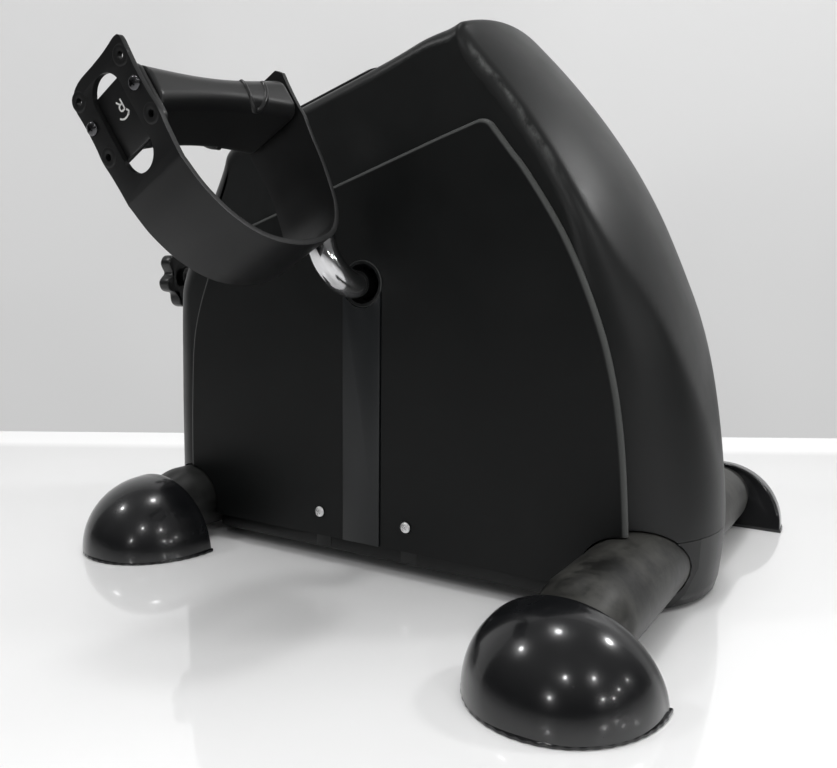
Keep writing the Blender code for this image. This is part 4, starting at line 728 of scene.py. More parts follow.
def hull_rings(inset, bottom):
    """The hull's rings from its right side to its left."""
    line, normal, depth, width, bulge = hull_shape()
    rings = []
    for index in range(HULL_RINGS + 1):
        share = math.sin(-math.pi / 2 + math.pi * index / HULL_RINGS)
        reach = np.clip(1 - HOUSING_HALF_WIDTH * (1 - abs(share)) / width, 0.0, 1.0)
        drop = bulge * share ** 2 + depth * (1 - np.sqrt(1 - reach ** 2))
        ring = line - normal * (drop + inset)[:, None]
        ring[0, 1] = bottom
        ring[-1, 1] = bottom
        y = share * (HOUSING_HALF_WIDTH - inset)
        rings.append([(x, y, z) for x, z in ring])
    return rings


def panel_outline():
    """The raised side panel seen from the side."""
    back = spline_through(((0.1380, SHELL_BOTTOM), (0.1376, 0.0425), (0.1337, 0.0870),
                           (0.1273, 0.1202), (0.1175, 0.1488), (0.1035, 0.1783),
                           (0.0855, 0.2058), (0.0751, 0.2187)), 3 * FINE)
    apex = bezier((0.0661, 0.2299), (0.0640, 0.2325), (0.0605, 0.2336), (0.0573, 0.2328), 5 * FINE)
    rim = [(0.0378, 0.2270)]
    corner = bezier((-0.0960, 0.1840), (-0.1105, 0.1794), (-0.1130, 0.1770), (-0.1187, 0.1613),
                    5 * FINE)
    front = spline_through(((-0.1187, 0.1613), (-0.1279, 0.1385), (-0.1331, 0.1168),
                            (-0.1353, 0.0834), (-0.1361, 0.0578), (-0.1366, SHELL_BOTTOM)),
                           2 * FINE)
    return [tuple(point) for point in np.vstack([back, apex, rim, corner, front[1:]])]


CONSOLE_SLOPE = math.atan2(CONSOLE_BACK[1] - CONSOLE_FRONT[1], CONSOLE_BACK[0] - CONSOLE_FRONT[0])
CONSOLE = (TO_PART @ Matrix.Translation(((CONSOLE_FRONT[0] + CONSOLE_BACK[0]) / 2, 0.0,
                                         (CONSOLE_FRONT[1] + CONSOLE_BACK[1]) / 2))
           @ Matrix.Rotation(-CONSOLE_SLOPE, 4, "Y"))


def leg_bar(name, x, reach, margin):
    """A leg's plain oval bar."""
    oval = (LEG_HALF_WIDTH + margin, LEG_HALF_HEIGHT + margin)
    return to_part(rod(name, (x, -reach, LEG_Z), (x, reach, LEG_Z), LEG_HALF_WIDTH,
                       LEG_SIDES, oval))


def necked_bar(name, x, back, reach, margin, paint=None):
    """A leg's oval bar, narrowed and creased where it enters its caps."""
    rings = []
    places = [(-reach - 0.001, 1.0)]
    for step in range(NECK_STEPS + 1):
        places.append((-back - 0.004 + (LEG_NECK + 0.006) * step / NECK_STEPS,
                       1.0 - float(ease(step / NECK_STEPS))))
    places += [(-y, share) for y, share in reversed(places)]
    for y, share in places:
        wide = LEG_HALF_WIDTH + (LEG_END_HALF_WIDTH - LEG_HALF_WIDTH) * share + margin
        tall = LEG_HALF_HEIGHT + (LEG_END_HALF_HEIGHT - LEG_HALF_HEIGHT) * share + margin
        middle = LEG_Z + (LEG_END_Z - LEG_Z) * share
        ring = []
        for step in range(LEG_SIDES):
            angle = 2 * math.pi * step / LEG_SIDES
            fold = 4 * share * (1 - share) * FOLD_DEPTH * max(0.0, math.sin(5 * angle + 0.6)) ** 3
            ring.append((x + (wide - fold) * math.cos(angle), y,
                         middle + (tall - fold) * math.sin(angle)))
        rings.append(ring)
    return to_part(loft(name, rings, paint, quads=False))


def hull_cut(item, tool):
    """Cut a tool drawn in the model's own frame out of a skin of the housing."""
    cut_fast(item, to_part(tool))


def shell_tools(item):
    """Cut what the housing's skins share: the leg ways, the crank slots and the screw holes."""
    for end, x, _ in ENDS:
        cut_fast(item, leg_bar(end + "_leg_way", x, BEYOND, 3 * GAP))
        past = sorted((x, x + math.copysign(0.06, x)))
        hull_cut(item, block(end + "_seam", past, (-BEYOND, BEYOND), (UNDER, SEAM_Z)))
    outline = [(HUB_X - SLOT_HALF_WIDTH, -0.01), (HUB_X + SLOT_HALF_WIDTH, -0.01)]
    outline += arc((HUB_X, HUB_Z), SLOT_HALF_WIDTH, 0, 180, 40)
    hull_cut(item, prism("crank_slot", outline, "XZ", -OUTSIDE, OUTSIDE))
    for _, x in SCREWS:
        hull_cut(item, rod("screw_way", (x, -OUTSIDE, HOUSING_SCREW_Z),
                           (x, OUTSIDE, HOUSING_SCREW_Z), SCREW_HOLE, sides=24))


def make_hull():
    """The outer skin: a hull with its inside cut away, solid behind its front corners."""
    hull = to_part(loft("housing_hull", hull_rings(0.0, HULL_BASE), "housing_black",
                        quads=False))
    inner = to_part(loft("hull_inside", hull_rings(SKIN, 0.0), quads=False))
    long, across, high = HULL_CORNER
    for side, _ in HANDS:
        hull_cut(inner, block("hull_corner", long, sorted(side * y for y in across), high))
    cut_fast(hull, inner)
    hull_cut(hull, block("hull_trim", *FOOT_CUT))
    shell_tools(hull)
    opening = block("display_opening", *[(-half, half) for half in DISPLAY_OPENING])
    cut_fast(hull, to_part(opening, CONSOLE))
    hull_cut(hull, rod("collar_way", (-0.2, 0, SCREW_Z), (-0.14, 0, SCREW_Z),
                       COLLAR_WAY, sides=24))
    settle(hull, 60.0)
    soften(hull)
    stands_for(hull, "housing_shell")


def make_panel(side, hand):
    """A raised flat panel with a rounded edge, cut off flat at its foot."""
    outline = panel_outline()
    outline[0] = (outline[0][0], PANEL_BASE)
    outline[-1] = (outline[-1][0], PANEL_BASE)
    levels = sorted((side * (HOUSING_HALF_WIDTH - HOUSING_WALL), side * PANEL_PLANE))
    panel = prism("housing_panel_" + hand, outline, "XZ", *levels, "panel_black")
    bevel(panel, PANEL_BEVEL, 6)
    settle(panel)
    cut_fast(panel, block("panel_trim", *FOOT_CUT))
    settle(panel)
    to_part(panel)
    shell_tools(panel)
    for _, x in SCREWS:
        hull_cut(panel, rod("screw_recess", (x, side * (PANEL_PLANE - 0.0008), HOUSING_SCREW_Z),
                            (x, side * OUTSIDE, HOUSING_SCREW_Z), SCREW_RECESS, sides=36))
    settle(panel, 40.0)
    soften(panel)
    stands_for(panel, "housing_shell")


make_hull()
for hand_side, hand_name in HANDS:
    make_panel(hand_side, hand_name)


# Foot caps and legs

LIP_HEIGHT = 0.0019       # sole lip round a cap
LIP_WAVE = 0.00014        # depth of the lip's scallops
LIP_PITCH = 0.0052
CAP_SHOULDER = 0.0009     # how far the dome stands in from its lip
CAP_MOUTH = ((0.0000, 0.962), (0.0000, 0.984), (0.0005, 0.993), (0.0014, 0.998),
             (0.0030, 0.9985), (0.0042, 0.996), (0.0054, 0.993))   # depth and share of the size
CAP_STEPS = 41
CAP_ARCH = 0.94           # below 1 the dome stays fuller towards its tip
CAP_CORNER = 0.0004       # the sole's chamfers
CAP_FORM = {"front": (CAP_HEIGHT + 0.0022, 0.0030), "rear": (CAP_HEIGHT, CAP_RAKE)}


def cap_dome(name, x, side, back, height, rake):
    """The domed cap: a banded open end, then an arch that closes to the tip."""
    half = CAP_HALF_WIDTH - CAP_SHOULDER
    first, full = CAP_MOUTH[-1]
    places = list(CAP_MOUTH)
    for step in range(1, CAP_STEPS):
        angle = math.radians(90.0) * step / CAP_STEPS
        places.append((first + (CAP_RIM + CAP_DOME - 0.0060) * math.sin(angle),
                       full * math.cos(angle) ** CAP_ARCH))
    rings = []
    for depth, share in places:
        ring = []
        for step in range(65):
            angle = math.pi * step / 64
            across = half * share * math.cos(angle)
            up = LIP_HEIGHT * 0.8 + (height - LIP_HEIGHT * 0.8) * share * math.sin(angle)
            lean = rake * up / height * (1 - depth / (CAP_RIM + CAP_DOME))
            ring.append((x + across, side * (back + depth + lean), up))
        rings.append(ring)
    return to_part(loft(name, rings, "gloss_black", 50.0))


def cap_sole(name, x, side, back):
    """The thin scalloped sole that shows as a lip under the dome."""
    outline = [(-CAP_HALF_WIDTH, 0.0), (-CAP_HALF_WIDTH, CAP_RIM)]
    for step in range(1, 180):
        angle = math.pi - math.pi * step / 180
        outline.append((CAP_HALF_WIDTH * math.cos(angle), CAP_RIM + CAP_DOME * math.sin(angle)))
    outline += [(CAP_HALF_WIDTH, CAP_RIM), (CAP_HALF_WIDTH, 0.0)]
    data = np.array(outline)
    inward = np.array((0.0, CAP_RIM)) - data
    inward /= np.linalg.norm(inward, axis=1)[:, None]
    wave = LIP_WAVE * (1 + np.sin(2 * math.pi * distances(data) / LIP_PITCH))
    rings = []
    for level, extra, chamfer in ((0.0, 1.3, CAP_CORNER), (CAP_CORNER, 1.0, 0.0),
                                  (LIP_HEIGHT - 0.0005, 0.6, 0.0), (LIP_HEIGHT, 0.0, CAP_CORNER)):
        inset = wave * extra + chamfer
        ring = data + inward * inset[:, None]
        rings.append([(x + px, side * (back + py), level) for px, py in ring])
    return to_part(loft(name, rings, "gloss_black", 40.0))


def make_caps_and_leg(end, x, back):
    """One end's two caps and its leg, a tube that runs into both."""
    for side, hand in HANDS:
        name = end + "_foot_cap_" + hand
        stands_for(cap_dome(name + "_dome", x, side, back, *CAP_FORM[end]), name)
        stands_for(cap_sole(name + "_sole", x, side, back), name)
    reach = back + LEG_INSERT
    # the front leg takes the darker copy of the leg paint as painted shade
    paint = "leg_shade" if end == "front" else "leg_paint"
    leg = necked_bar(end + "_leg_tube", x, back, reach, 0.0, paint)
    cut_fast(leg, necked_bar(end + "_leg_bore", x, back, reach + 0.01, -LEG_WALL))
    settle(leg)
    stands_for(leg, end + "_foot_tube")


for foot_end in ENDS:
    make_caps_and_leg(*foot_end)


# Crank

HUB = Vector((HUB_X, 0.0, HUB_Z))
ARM = Vector((math.cos(math.radians(ARM_ANGLE)), 0.0, math.sin(math.radians(ARM_ANGLE))))
DROOP = math.radians(AXLE_DROOP)
AXLE = Vector((0.0, -math.cos(DROOP), 0.0)) - ARM * math.sin(DROOP)
TOP_BEND = HUB + Vector((0.0, -ARM_PLANE, 0.0)) + ARM * ARM_LENGTH
PEDAL_ORIGIN = TOP_BEND + AXLE * PEDAL_START
AXLE_END = PEDAL_LENGTH - 0.0040
PEDAL_BEND_RADIUS = 0.0140
ROD_CHAMFER = 0.0004


def bend(before, corner, after, radius, steps):
    """Points round a corner between two straight lines, at a radius."""
    one = (before - corner).normalized()
    two = (after - corner).normalized()
    half = one.angle(two) / 2
    centre = corner + (one + two).normalized() * (radius / math.sin(half))
    begin = corner + one * (radius / math.tan(half)) - centre
    end = corner + two * (radius / math.tan(half)) - centre
    whole = begin.angle(end)
    return [centre + (begin * math.sin((1 - step / steps) * whole)
                      + end * math.sin(step / steps * whole)) / math.sin(whole)
            for step in range(steps + 1)]


def make_crank():
    """One bent rod from pedal axle to pedal axle, each half the other turned half round."""
    corner = HUB + Vector((0.0, -ARM_PLANE, 0.0))
    shoulder = PEDAL_ORIGIN - AXLE * SHOULDER
    tip = PEDAL_ORIGIN + AXLE * AXLE_END
    points = [HUB] + bend(HUB, corner, TOP_BEND, BEND_RADIUS, 28)
    points += bend(corner, TOP_BEND, shoulder, PEDAL_BEND_RADIUS, 24)
    radii = [ROD_RADIUS] * len(points)
    points += [shoulder - AXLE * ROD_CHAMFER, shoulder, shoulder + AXLE * 0.0001,
               tip - AXLE * 0.0008, tip]
    radii += [ROD_RADIUS, ROD_RADIUS - ROD_CHAMFER, AXLE_RADIUS, AXLE_RADIUS, AXLE_RADIUS * 0.8]
    far = [HUB * 2 - point for point in reversed(points[1:])]
    crank = tube("crank_rod", far + points, radii[:0:-1] + radii, "chrome", 48)
    stands_for(to_part(crank), "crank")


make_crank()


# Pedals, in the pedal's own frame: u outwards, d towards the strap, l across

STRAP_GAP = GAP + STRAP_THICKNESS / 2
END_FACE = PEDAL_LENGTH + GAP + END_PLATE
OUTER_LEG = END_FACE + STRAP_GAP
STRAP_LINE = ((-0.0044, -0.0135), (-0.0028, 0.0090), (-0.0002, 0.0320), (0.0035, 0.0460),
              (0.0085, 0.0585), (0.0180, 0.0690), (0.0300, 0.0735), (0.0470, 0.0740),
              (0.0640, 0.0695), (0.0765, 0.0600), (0.0845, 0.0470), (OUTER_LEG, 0.0330),
              (OUTER_LEG, 0.0210), (OUTER_LEG, -0.0210))
OPENING = (-0.0130, 0.0280)
OPENING_HALF = 0.0086
STUD_AWAY = 0.0148
SPARE_HOLES = (-0.0120, 0.0130)
STUD_HOLE = 0.0019
SPARE_HOLE = 0.0015
STRAP_REACH = 0.0195      # past the strap's half width
POCKET = 0.0092
POCKET_DEPTH = 0.0100
BOSS = ((0.0040, -0.0010), (0.0040, 0.0), (0.0037, 0.00015), (0.0024, 0.00015),
        (0.0016, -0.00005), (0.0016, -0.0010))
STUD = ((0.0, 0.0013), (0.0010, 0.00128), (0.0019, 0.0011), (0.0026, 0.0007),
        (0.0029, 0.0002), (0.0029, 0.0), (0.0016, 0.0))
STRAP_END_FLARED = ((-0.0178, 0.0000), (-0.0180, 0.0070), (-0.0185, 0.0120), (-0.0189, 0.0150),
                    (-0.0189, 0.0170), (-0.0184, 0.0184), (-0.0166, 0.0189), (-0.0140, 0.0188))
STRAP_END_INNER = ((-0.0152, 0.0000), (-0.0153, 0.0050), (-0.0153, 0.0090), (-0.0150, 0.0120),
                   (-0.0144, 0.0142), (-0.0134, 0.0159), (-0.0121, 0.0171), (-0.0110, 0.0178))
STRAP_END_ROUND = ((-0.0178, 0.0000), (-0.0179, 0.0060), (-0.0177, 0.0100), (-0.0168, 0.0136),
                   (-0.0152, 0.0162), (-0.0130, 0.0178))
STRAP_SIDE = ((-0.0100, 0.0185), (-0.0050, 0.0182), (0.0010, 0.0181), (0.0070, 0.0183),
              (0.0130, 0.0188), (0.0200, 0.0181), (0.0300, 0.0176), (0.0450, 0.0175),
              (0.0700, 0.0175), (0.0850, 0.0175))


def pedal_frame(hand):
    """From the pedal's own frame to the part's."""
    turn = math.radians(PEDAL_TURN)
    down = Vector((math.cos(turn), 0.0, math.sin(turn)))
    down = (down - AXLE * down.dot(AXLE)).normalized()
    across = AXLE.cross(down)
    origin = PEDAL_ORIGIN
    outward = AXLE
    if hand == "left":
        origin = HUB * 2 - PEDAL_ORIGIN
        outward = -AXLE
        down = -down
    basis = Matrix((outward, down, across)).transposed().to_4x4()
    return TO_PART @ Matrix.Translation(origin) @ basis


def ribbon(points, half):
    """The outline of a band along a line."""
    data = np.array(points, float)
    tangent = np.gradient(data, axis=0)
    tangent /= np.linalg.norm(tangent, axis=1)[:, None]
    normal = np.stack([-tangent[:, 1], tangent[:, 0]], axis=1) * half
    return [tuple(point) for point in np.vstack([data - normal, (data + normal)[::-1]])]


def dense_line(points, steps):
    """A smooth line with even spacing, straight between its last two points."""
    line = spline_through(points[:-2], steps)
    last = np.linspace(points[-2], points[-1], 3 * steps)
    return np.vstack([line, last])


def strap_plan(end):
    """Outline of the strap seen along the axle, with one outer corner shaped by end."""
    near = spline_through(end + STRAP_SIDE, 6)
    far = spline_through(STRAP_END_ROUND + STRAP_SIDE, 6)
    return [tuple(p) for p in near] + [(d, -w) for d, w in far[:0:-1]]


def make_strap(hand, place):
    """The strap: a ribbon's side view met by its plan, with its holes and the bosses round them."""
    name = "pedal_strap_" + hand
    line = dense_line(STRAP_LINE, 10)
    strap = prism(name + "_band", ribbon(line, STRAP_THICKNESS / 2), "XY", -STRAP_REACH,
                  STRAP_REACH, "strap_black")
    middle = PEDAL_LENGTH / 2
    plans = ((middle - 0.09, STRAP_END_INNER), (middle - 0.004, STRAP_END_INNER),
             (middle, STRAP_END_FLARED), (middle + 0.09, STRAP_END_FLARED))
    plan = loft("strap_plan", [[(u, d, w) for d, w in strap_plan(end)] for u, end in plans],
                quads=False)
    change(strap, plan, "INTERSECT")
    near = OUTER_LEG - 0.01
    far = OUTER_LEG + 0.01
    outline = arc((OPENING[1] - OPENING_HALF, 0.0), OPENING_HALF, -90, 90, 24)
    outline += arc((OPENING[0] + OPENING_HALF, 0.0), OPENING_HALF, 90, 270, 24)
    cut(strap, prism("strap_opening", outline, "YZ", near, far))
    cut(strap, rod("strap_axle_hole", (-0.02, 0, 0), (0.02, 0, 0), AXLE_RADIUS + 2 * GAP))
    for across in (-STUD_AWAY, STUD_AWAY):
        for along, radius in ((0, STUD_HOLE), *[(along, SPARE_HOLE) for along in SPARE_HOLES]):
            cut(strap, rod("strap_hole", (near, along, across), (far, along, across), radius,
                           sides=24))
    bevel(strap, 0.0008, 3, 40.0)
    settle(strap)
    stands_for(to_part(strap, place), name)
    top = OUTER_LEG + STRAP_THICKNESS / 2
    for across, side in ((-STUD_AWAY, "rear"), (STUD_AWAY, "front")):
        for index, along in enumerate(SPARE_HOLES):
            boss = turned("%s_boss_%s_%d" % (name, side, index),
                          [(radius, top + up) for radius, up in BOSS], (0, along, across),
                          (1, 0, 0), "strap_black")
            stands_for(to_part(boss, place), name)


RIB_LINE = ((0.0272, -0.0046), (0.0284, 0.0006), (0.0280, 0.0052), (0.0256, 0.0078),
            (0.0222, 0.0074), (0.0188, 0.0044), (0.0160, 0.0006), (0.0140, -0.0044))
RIB_RADIUS = 0.0015
RIB_SINK = 0.0008         # how deep the rib's middle lies in the body
CORNERS = ((1, 1), (-1, 1), (-1, -1), (1, -1))
PEDAL_ROUND = 0.0062      # rounding along the pedal body
BACK_DISH = 0.0016        # how deep the pedal's back is dished


def pedal_section(u, inset=0.0):
    """Half width, lowest and highest d, and corner radius of the pedal body at u."""
    bow = math.sin(math.pi * u / PEDAL_LENGTH)
    half = PEDAL_HALF_WIDTH - (PEDAL_HALF_WIDTH - PEDAL_WAIST) * bow
    low = -(PEDAL_BACK - BACK_DISH * bow) + inset
    high = TREAD_END - (TREAD_END - TREAD_MID) * bow - inset
    return half - inset, low, high, min(PEDAL_ROUND, (high - low) / 2 - 0.0002)


def pedal_side(u, d):
    """How far out the pedal body's rounded side is at (u, d)."""
    half, low, high, radius = pedal_section(u)
    over = max(0.0, d - (high - radius), low + radius - d)
    return half - radius + math.sqrt(max(0.0, radius ** 2 - over ** 2))


def pedal_ring(u, inset):
    """A rounded cross-section of the pedal body at u along its axle."""
    half, low, high, radius = pedal_section(u, inset)
    ring = []
    for turn, (along, across) in enumerate(CORNERS):
        middle = (high - radius if along > 0 else low + radius, across * (half - radius))
        ring += [(u, *polar(radius, 90.0 * turn + 90.0 * step / 8, middle)) for step in range(9)]
    return ring


def make_pedal_body(name, place):
    """The pedal's moulded body, with a raised rib round its inner end on each side."""
    ends = [(0.0, 0.0010), (0.0003, 0.0004), (0.0010, 0.0)]
    places = ends + [(PEDAL_LENGTH * t, 0.0) for t in np.linspace(0.03, 0.97, 47)]
    places += [(PEDAL_LENGTH - u, inset) for u, inset in reversed(ends)]
    body = loft(name + "_block", [pedal_ring(u, inset) for u, inset in places], "satin_black",
                50.0, quads=False)
    for side, _ in HANDS:
        path = [(u, d, side * (pedal_side(u, d) - RIB_SINK))
                for u, d in spline_through(RIB_LINE, 6)]
        change(body, tube("pedal_rib", path, [RIB_RADIUS] * len(path), sides=16), "UNION")
    settle(body, 50.0)
    past = PEDAL_LENGTH + 0.01
    cut(body, rod("pedal_bore", (-0.01, 0, 0), (past, 0, 0), AXLE_RADIUS + GAP))
    cut(body, rod("pedal_pocket", (PEDAL_LENGTH - POCKET_DEPTH, 0, 0), (past, 0, 0), POCKET))
    for across in (-STUD_AWAY, STUD_AWAY):
        cut(body, block("pedal_hollow", (0.010, PEDAL_LENGTH - 0.016),
                        (-PEDAL_BACK - 0.01, 0.004), sorted((across * 0.45, across * 1.02))))
    settle(body)
    stands_for(to_part(body, place), name)


def make_end_plate(name, place):
    """The flat plate on the pedal's outer end."""
    outline = []
    for turn, (sd, sl) in enumerate(CORNERS):
        outline += arc((0.0045 + sd * 0.0090, sl * 0.0135), 0.0045, 90 * turn, 90 * turn + 90, 10)
    plate = prism(name + "_plate", outline, "YZ", PEDAL_LENGTH + GAP, END_FACE, "satin_black")
    bevel(plate, 0.0006, 3)
    settle(plate)
    stands_for(to_part(plate, place), name)


def make_stud(name, across, place):
    """A cross-head stud that holds the strap to the pedal's outer end."""
    top = OUTER_LEG + STRAP_GAP
    profile = [(radius, top + up) for radius, up in STUD]
    profile += [(0.0016, PEDAL_LENGTH - 0.0110), (0.0, PEDAL_LENGTH - 0.0115)]
    stud = turned(name + "_head", profile, (0, 0, across), (1, 0, 0), "stud_dark")
    bar = ((top + 0.0006, top + 0.003), (-0.00028, 0.00028), (-0.0015, 0.0015))
    cross_recess(stud, bar, Matrix.Translation((0, 0, across)), "X", 20.0)
    stands_for(to_part(stud, place), name)


for pedal_hand in ("right", "left"):
    at = pedal_frame(pedal_hand)
    make_pedal_body("pedal_body_" + pedal_hand, at)
    make_end_plate("pedal_end_plate_" + pedal_hand, at)
    make_stud("strap_stud_%s_front" % pedal_hand, STUD_AWAY, at)
    make_stud("strap_stud_%s_rear" % pedal_hand, -STUD_AWAY, at)
    make_strap(pedal_hand, at)


# Tension knob and collar

KNOB_FACE_ROUND = 0.0026
KNOB_BACK_ROUND = 0.0014
KNOB_BORE = SCREW_RADIUS + GAP
THREAD = (KNOB_FACE_X + 0.0058, -0.0435)
THREAD_PITCH = 0.0010
THREAD_DEPTH = 0.00045


def knob_ring(x, inset):
    """The knob's lobed outline at x."""
    points = []
    count = KNOB_LOBES * 36
    for step in range(count):
        angle = 2 * math.pi * step / count
        wave = 0.5 + 0.5 * math.cos(KNOB_LOBES * (angle - math.radians(KNOB_PHASE)))
        radius = KNOB_RADIUS - inset - 2 * KNOB_LOBE_DEPTH * (1 - wave) ** 1.5
        points.append((x, radius * math.cos(angle), SCREW_Z + radius * math.sin(angle)))
    return points


def rounding(x, size, count):
    """Places (x, inset) round a quarter of the edge of a face at x, inwards by size."""
    angles = [math.radians(90.0) * step / count for step in range(count + 1)]
    return [(x + size * (1 - math.sin(angle)), abs(size) * (1 - math.cos(angle)))
            for angle in angles]


def make_knob():
    """The lobed grip with its hollow back, and the boss inside it."""
    back = KNOB_FACE_X + KNOB_THICKNESS
    levels = [(KNOB_FACE_X + 0.0009, 0.0060), (KNOB_FACE_X + 0.0003, 0.0050)]
    levels += rounding(KNOB_FACE_X, KNOB_FACE_ROUND, 8)[::-1]
    levels += rounding(back, -KNOB_BACK_ROUND, 5)[1:]
    knob = to_part(loft("tension_knob_grip", [knob_ring(x, inset) for x, inset in levels],
                        "satin_black", 45.0, quads=False))
    cut(knob, to_part(rod("knob_hollow", (KNOB_FACE_X + 0.004, 0, SCREW_Z),
                          (back + 0.01, 0, SCREW_Z), KNOB_RADIUS - 2 * KNOB_LOBE_DEPTH - 0.003)))
    settle(knob, 40.0)
    stands_for(knob, "tension_knob")
    profile = [(0.0070, back - 0.0006), (0.0064, back), (KNOB_BORE, back),
               (KNOB_BORE, KNOB_FACE_X + 0.0056), (0.0070, KNOB_FACE_X + 0.0030)]
    boss = turned("tension_knob_boss", profile, (0, 0, SCREW_Z), (1, 0, 0), "satin_black")
    stands_for(to_part(boss), "tension_knob")


def make_thread():
    """The tension screw, with a thread that winds round it."""
    first, last = THREAD
    steps = int((last - first) / THREAD_PITCH * 10)
    rings = []
    for step in range(steps + 1):
        x = first + (last - first) * step / steps
        ring = []
        for turn in range(20):
            phase = (x / THREAD_PITCH - turn / 20) % 1.0
            y, z = polar(SCREW_RADIUS - THREAD_DEPTH * abs(2 * phase - 1), 360.0 * turn / 20)
            ring.append((x, y, SCREW_Z + z))
        rings.append(ring)
    stands_for(to_part(loft("tension_screw_thread", rings, "zinc", 60.0)), "tension_screw")


make_knob()
make_thread()


# Screws, bushes, slot covers and the nodes that keep their shape

HEAD = ((0.0, 0.0013), (0.0010, 0.00127), (0.0019, 0.0011), (0.0026, 0.0007),
        (0.0030, 0.0001), (0.0030, 0.0), (0.0015, 0.0))


def make_housing_screw(side, hand, end, x):
    """A cross-head screw in the panel."""
    name = "housing_screw_%s_%s" % (hand, end)
    top = PANEL_PLANE + GAP
    profile = [(radius, top + up) for radius, up in HEAD]
    profile += [(0.0015, SLOT_FLANGE_Y - 0.0030), (0.0, SLOT_FLANGE_Y - 0.0045)]
    screw = to_part(turned(name + "_head", profile, (x, 0.0, HOUSING_SCREW_Z), (0, side, 0),
                           "screw_bright"))
    levels = sorted((side * (top + 0.0004), side * (top + 0.003)))
    bar = ((-0.0017, 0.0017), levels, (-0.00035, 0.00035))
    cross_recess(screw, bar, TO_PART @ Matrix.Translation((x, 0, HOUSING_SCREW_Z)), "Y", 25.0)
    stands_for(screw, name)


for hand_side, hand_name in HANDS:
    for screw_end, screw_x in SCREWS:
        make_housing_screw(hand_side, hand_name, screw_end, screw_x)


def merged(name):
    """A CAD node's own shape with its facets merged."""
    shape = bmesh.new()
    shape.from_mesh(NODES[name].data)
    bmesh.ops.remove_doubles(shape, verts=shape.verts, dist=0.00001)
    bmesh.ops.dissolve_limit(shape, angle_limit=math.radians(0.5), verts=shape.verts,
                             edges=shape.edges)
    return shape


def dress(name, shape, paint, width):
    """A merged CAD shape with a finer finish, and rounded edges if a width is given."""
    item = from_bmesh(name + "_look", shape, paint)
    if width:
        bevel(item, width, 2, 50.0)
        settle(item)
    stands_for(item, name)


BUSH_OUTER = SLOT_HALF_WIDTH - GAP
BUSH_HOLE = 0.0086
# the mouth is painted very dark as the shade in the gap round the rod
BUSH_MOUTH = 0.0106       # where the bush's dark mouth starts


def make_bush(side, hand):
    """A crank bush: a flush ring and a black tapered mouth round the rod, darkened as painted
    shade.
    """
    front = PANEL_PLANE + 0.0002
    rear = SLOT_FLANGE_Y - 0.0005
    ring = [(BUSH_OUTER, front - 0.0003), (BUSH_OUTER, rear), (BUSH_MOUTH, rear),
            (BUSH_MOUTH, front), (BUSH_OUTER - 0.0003, front)]
    mouth = [(BUSH_MOUTH, front - 0.0004), (BUSH_MOUTH, rear + 0.0002),
             (BUSH_HOLE, rear + 0.0002), (BUSH_HOLE, front - 0.0042),
             (BUSH_MOUTH - 0.0003, front - 0.0003)]
    for part, profile, paint in (("ring", ring, "panel_black"), ("mouth", mouth, "bush_black")):
        item = turned("crank_bush_%s_%s" % (hand, part), profile, (HUB_X, 0.0, HUB_Z),
                      (0, side, 0), paint, 64)
        stands_for(to_part(item), "crank_bush_" + hand)


def make_slot_cover(side, hand):
    """A cover that stands a little proud of the panel, with an open joint at its rear edge."""
    name = "slot_cover_" + hand
    rear_edge = MODEL_X + HUB_X + SLOT_HALF_WIDTH - GAP
    shape = merged(name)
    for vert in shape.verts:
        if abs(vert.co.y) > PANEL_PLANE - 0.0006:
            vert.co.y = side * (PANEL_PLANE + 0.0004)
        if abs(vert.co.y) > HOUSING_HALF_WIDTH - 0.0010 and vert.co.x > rear_edge - 0.0001:
            vert.co.x = rear_edge - 0.0007
    dress(name, shape, "strip_black", 0.0005)


for hand_side, hand_name in HANDS:
    make_bush(hand_side, hand_name)
for hand_side, hand_name in HANDS:
    make_slot_cover(hand_side, hand_name)

SLOTS = {entry["node"]: entry["material_slot"] for entry in frame["record"]["subparts"]}
ROUNDED = {"bottom_cover": 0.0008, "front_foot_bolt": 0.0005, "rear_foot_bolt": 0.0005,
           "brake_arm": 0.0004, "brake_magnet": 0.0005, "speed_sensor": 0.0005,
           "pedal_nut_right": 0.0004, "pedal_nut_left": 0.0004, "tension_nut": 0.0004,
           "display_case": 0.0004, "display_lens": 0.0003, "mode_button": 0.0005}
stood_for = {name for item in LOOKS.objects for name in list(item.get("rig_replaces", []))}
for node_name in sorted(set(NODES) - stood_for):
    dress(node_name, merged(node_name), SLOTS[node_name], ROUNDED.get(node_name, 0.0))


# Marks on the right pedal's end plate: a letter and a curved arrow

LETTER = ([(0, 0), (0.25, 0), (0.75, 0), (1, 0)],
          [(1, 0), (1, 0.35), (0.86, 0.55), (0.66, 0.55), (0.48, 0.42), (0.46, 0.0)],
          [(0.48, 0.25), (0.3, 0.4), (0.1, 0.55), (0, 0.62)])
LETTER_HEIGHT = 0.0043
LETTER_AT = (-0.0020, -0.0004)
ARROW_MIDDLE = (0.0015, 0.0006)
ARROW_RADIUS = 0.0038
STROKE_WIDTH = 0.0007


def stroke(name, points):
    """A thin painted line on the right pedal's end plate."""
    outline = ribbon(spline_through(points, 6), STROKE_WIDTH / 2)
    item = prism(name, outline, "YZ", END_FACE - 0.0001, END_FACE + 0.00005, "white_mark")
    stands_for(to_part(item, pedal_frame("right")), body=BODY_OF["pedal_end_plate_right"])


